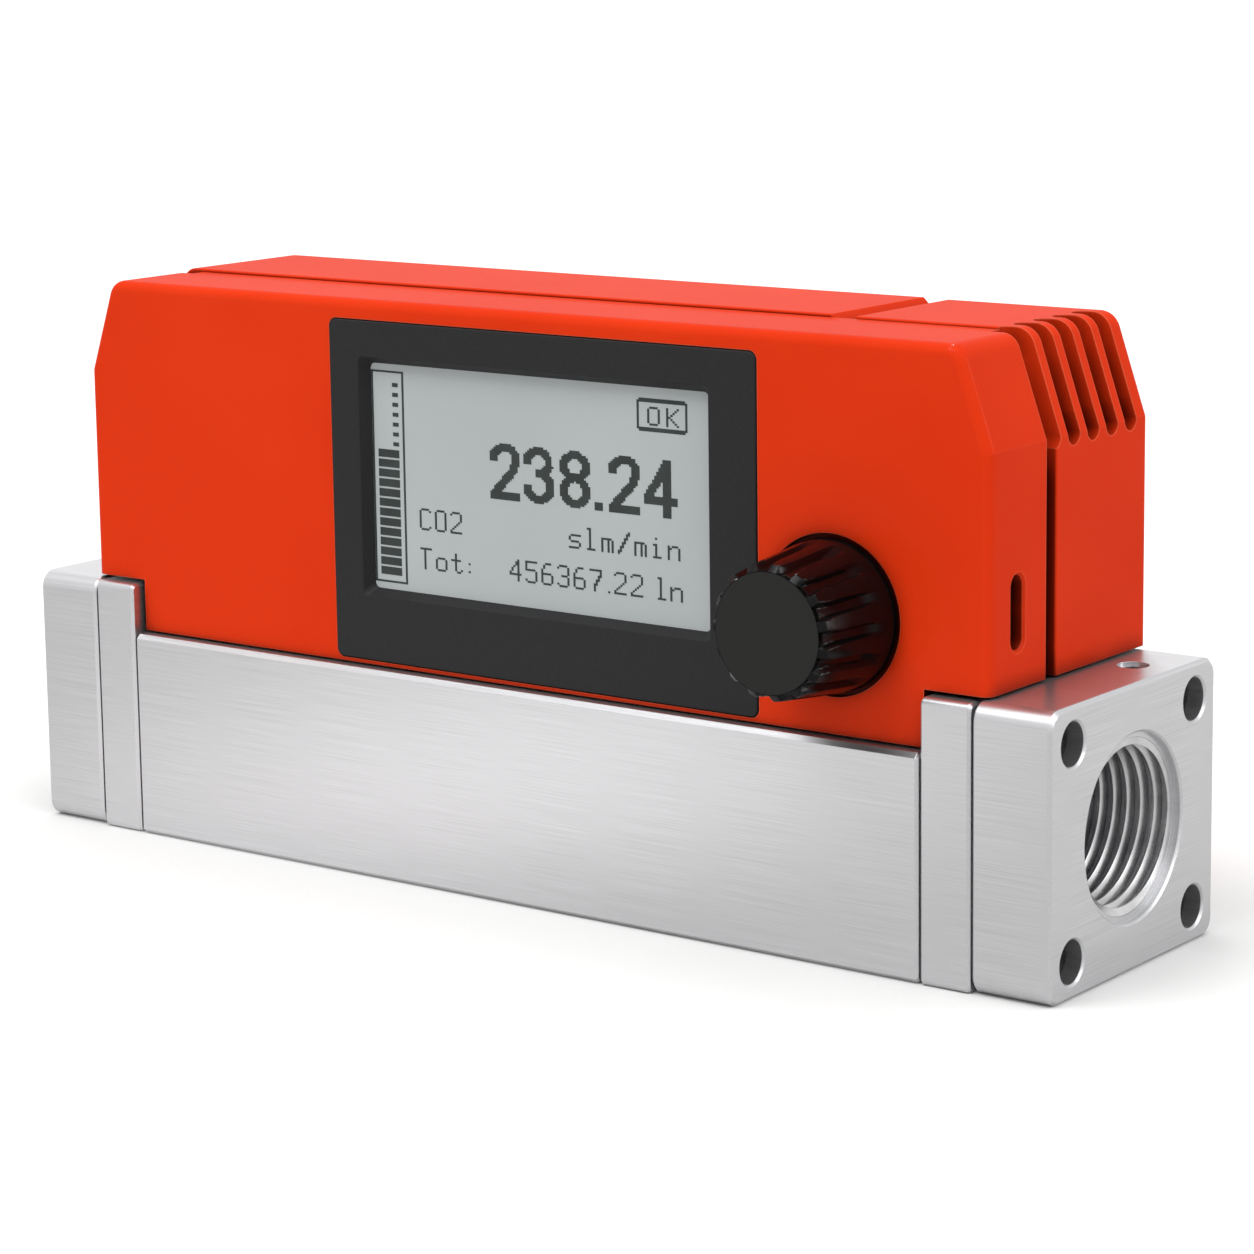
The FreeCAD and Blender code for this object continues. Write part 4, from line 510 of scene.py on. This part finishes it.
# Strokes are lines between dot centres: column from the left, row from the top.
smallStrokes = {
    "C": [[(5, 1), (4, 0), (1, 0), (0, 1), (0, 9), (1, 10), (4, 10), (5, 9)]],
    "O": [[(1, 0), (4, 0), (5, 1), (5, 9), (4, 10), (1, 10), (0, 9), (0, 1), (1, 0)]],
    "T": [[(0, 0), (5, 0)], [(2, 0), (2, 10)]],
    "o": [[(1, 4), (4, 4), (5, 5), (5, 9), (4, 10), (1, 10), (0, 9), (0, 5), (1, 4)]],
    "t": [[(2, 1), (2, 9), (3, 10), (4, 10), (5, 9)], [(0, 4), (4, 4)]],
    ":": [[(1, 5), (1, 5)], [(1, 9), (1, 9)]],
    "s": [[(5, 4), (1, 4), (0, 5), (0, 6), (1, 7), (4, 7), (5, 8), (5, 9), (4, 10), (0, 10)]],
    "l": [[(1, 0), (2, 0), (2, 10)], [(1, 10), (4, 10)]],
    "m": [[(0, 4), (0, 10)], [(0, 4), (4, 4), (5, 5), (5, 10)], [(3, 4), (3, 10)]],
    "/": [[(5, 0), (0, 10)]],
    "i": [[(2, 1), (2, 1)], [(1, 4), (2, 4), (2, 10)], [(1, 10), (4, 10)]],
    "n": [[(0, 4), (0, 10)], [(1, 5), (2, 4), (4, 4), (5, 5), (5, 10)]],
    ".": [[(1, 10), (1, 10)]],
    " ": [],
    "2": [[(0, 1), (1, 0), (4, 0), (5, 1), (5, 4), (0, 9), (0, 10), (5, 10)]],
    "3": [[(0, 1), (1, 0), (4, 0), (5, 1), (5, 4), (4, 5), (2, 5)],
          [(5, 6), (5, 9), (4, 10), (1, 10), (0, 9)]],
    "4": [[(4, 0), (4, 10)], [(4, 0), (0, 6), (0, 7), (5, 7)]],
    "5": [[(5, 0), (0, 0), (0, 4), (4, 4), (5, 5), (5, 9), (4, 10), (1, 10), (0, 9)]],
    "6": [[(4, 0), (2, 0), (0, 3), (0, 9), (1, 10), (4, 10), (5, 9), (5, 6), (4, 5), (1, 5)]],
    "7": [[(0, 0), (5, 0), (5, 2), (2, 8), (2, 10)]],
}
signStrokes = {
    "O": [[(1, 0), (4, 0), (5, 1), (5, 7), (4, 8), (1, 8), (0, 7), (0, 1), (1, 0)]],
    "K": [[(0, 0), (0, 8)], [(5, 0), (1, 4), (5, 8)]],
}
largeStrokes = {
    "2": [[(1.5, 6.5), (1.5, 5.5), (4, 2.5), (6, 1.5), (8.5, 1.5), (11, 2.5), (12.5, 5.5), (12.5, 9),
           (11, 13), (2, 24)], [(1.5, 25.5), (13, 25.5)]],
    "3": [[(1.5, 6.5), (1.5, 5.5), (4, 2.5), (6, 1.5), (8, 1.5), (10.5, 2.5), (12, 5.5), (12, 9), (10, 12)],
          [(7, 12.5), (8.5, 12.5)],
          [(10, 13), (12.5, 16.5), (12.5, 21.5), (10.5, 24.5), (8, 25.5), (6, 25.5), (3.5, 24.5),
           (1.5, 21.5), (1.5, 20)]],
    "8": [[(6, 1.5), (8, 1.5), (11, 3.5), (12.5, 6), (12.5, 9), (10, 12), (8, 12.5), (6, 12.5), (4, 12),
           (1.5, 9), (1.5, 6), (3, 3.5), (6, 1.5)],
          [(6, 12.5), (8, 12.5), (11, 15), (12.5, 18), (12.5, 21), (11, 24), (8, 25.5), (6, 25.5), (3, 24),
           (1.5, 21), (1.5, 18), (3, 15), (6, 12.5)]],
    "4": [[(10.5, 1.5), (10.5, 25.5)], [(10.5, 1.5), (1.5, 18)], [(1.5, 19.5), (14, 19.5)]],
    ".": [[(1.5, 25.5), (1.5, 25.5)]],
}
display = {
    "left": -22.5, "top": 66.9, "columnPitch": 0.311, "rowPitch": 0.25,  # mm
    # places in the bar and the sign are columns from the left and rows from the top
    "face": -15.9, "lift": 0.03, "thickness": 0.02,                 # mm
    "columns": 174, "rows": 122,
    "penMargin": 0.01,                                              # dots
    "bar": {"left": 3, "right": 19, "top": 7, "bottom": 114, "first": 13, "step": 5, "count": 20, "lit": 13,
            "fillLeft": 6, "fillRight": 16, "tickLeft": 14},
    "sign": {"left": 137, "right": 160, "top": 9, "bottom": 24},
    "lines": [
        # text, strokes, line width in dots, first column, top row, advance by character
        ("238.24", largeStrokes, 4, 64, 38, {".": 7}, 17.3),
        ("CO2", smallStrokes, 1, 27, 75, {}, 8),
        ("Tot:", smallStrokes, 1, 27, 95, {}, 8),
        ("slm/min", smallStrokes, 1, 103, 75, {}, 8),
        ("456367.22 ln", smallStrokes, 1, 73, 95, {".": 4, " ": 4, "l": 7}, 8),
        ("OK", signStrokes, 1.3, 142, 13, {}, 9),
    ],
}


def nearStroke(dot, start, end, half):
    # square pen along rows and columns, round pen along slants
    (x, y), (fromX, fromY), (toX, toY) = dot, start, end
    if fromX == toX or fromY == toY:
        reach = half - display["penMargin"]
        inColumns = min(fromX, toX) - reach <= x <= max(fromX, toX) + reach
        inRows = min(fromY, toY) - reach <= y <= max(fromY, toY) + reach
        return inColumns and inRows
    lengthSquared = (toX - fromX) ** 2 + (toY - fromY) ** 2
    share = max(0, min(1, ((x - fromX) * (toX - fromX) + (y - fromY) * (toY - fromY)) / lengthSquared))
    return math.hypot(x - fromX - share * (toX - fromX), y - fromY - share * (toY - fromY)) <= half


def litDots():
    lit = set()
    for text, strokes, width, column, top, advances, advance in display["lines"]:
        for letter in text:
            for stroke in strokes[letter]:
                for start, end in zip(stroke, stroke[1:]):
                    lowX, highX = sorted((start[0], end[0]))
                    lowY, highY = sorted((start[1], end[1]))
                    for x in range(int(lowX - width), int(highX + width) + 1):
                        for y in range(int(lowY - width), int(highY + width) + 1):
                            if nearStroke((x, y), start, end, width / 2):
                                lit.add((round(column) + x, top + y))
            column += advances.get(letter, advance)
    bar, sign = display["bar"], display["sign"]
    for outline in (bar, sign):
        for x in range(outline["left"], outline["right"] + 1):
            lit.update({(x, outline["top"]), (x, outline["bottom"])})
        for y in range(outline["top"], outline["bottom"] + 1):
            lit.update({(outline["left"], y), (outline["right"], y)})
    # the sign's frame is two dots thick at its top and bottom, and open at its corners
    wide = range(sign["left"], sign["right"] + 1)
    lit.update({(x, y) for x in wide for y in (sign["top"] + 1, sign["bottom"] - 1)})
    lit -= {(x, y) for x in (sign["left"], sign["right"]) for y in (sign["top"], sign["bottom"])}
    # the bar fills from below with thick steps, and the steps above are short and thin
    for number in range(bar["count"]):
        row = bar["first"] + bar["step"] * number
        full = number >= bar["count"] - bar["lit"]
        rows = range(row - 1, row + 3) if full else range(row, row + 2)
        first = bar["fillLeft"] if full else bar["tickLeft"]
        lit.update({(x, y) for x in range(first, bar["fillRight"] + 1) for y in rows})
    return lit


def makeDisplayMarks():
    # A sheet with one face for each dot of the display, from which the unlit dots are taken away.
    lit = litDots()
    columns, rows = display["columns"], display["rows"]
    wide, high = columns * display["columnPitch"] * mm, rows * display["rowPitch"] * mm
    shape = bmesh.new()
    bmesh.ops.create_grid(shape, x_segments=columns, y_segments=rows, size=0.5)
    bmesh.ops.scale(shape, verts=shape.verts, vec=(wide, high, 1))
    unlit = []
    for face in shape.faces:
        centre = face.calc_center_median()
        column = int((centre.x / wide + 0.5) * columns)
        row = int((0.5 - centre.y / high) * rows)
        if (column, row) not in lit:
            unlit.append(face)
    bmesh.ops.delete(shape, geom=unlit, context="FACES")
    bmesh.ops.rotate(shape, verts=shape.verts, cent=(0, 0, 0), matrix=Matrix.Rotation(math.pi / 2, 3, "X"))
    front = (display["face"] - display["lift"]) * mm
    middle = (display["left"] * mm + wide / 2, front, display["top"] * mm - high / 2)
    bmesh.ops.translate(shape, verts=shape.verts, vec=middle)
    raised = bmesh.ops.extrude_face_region(shape, geom=shape.faces[:])
    moved = [item for item in raised["geom"] if isinstance(item, bmesh.types.BMVert)]
    bmesh.ops.translate(shape, verts=moved, vec=(0, display["thickness"] * mm, 0))
    finishPiece("display_marks", shape, segmentInk, "root")


makeDisplayMarks()
print("display marks made")
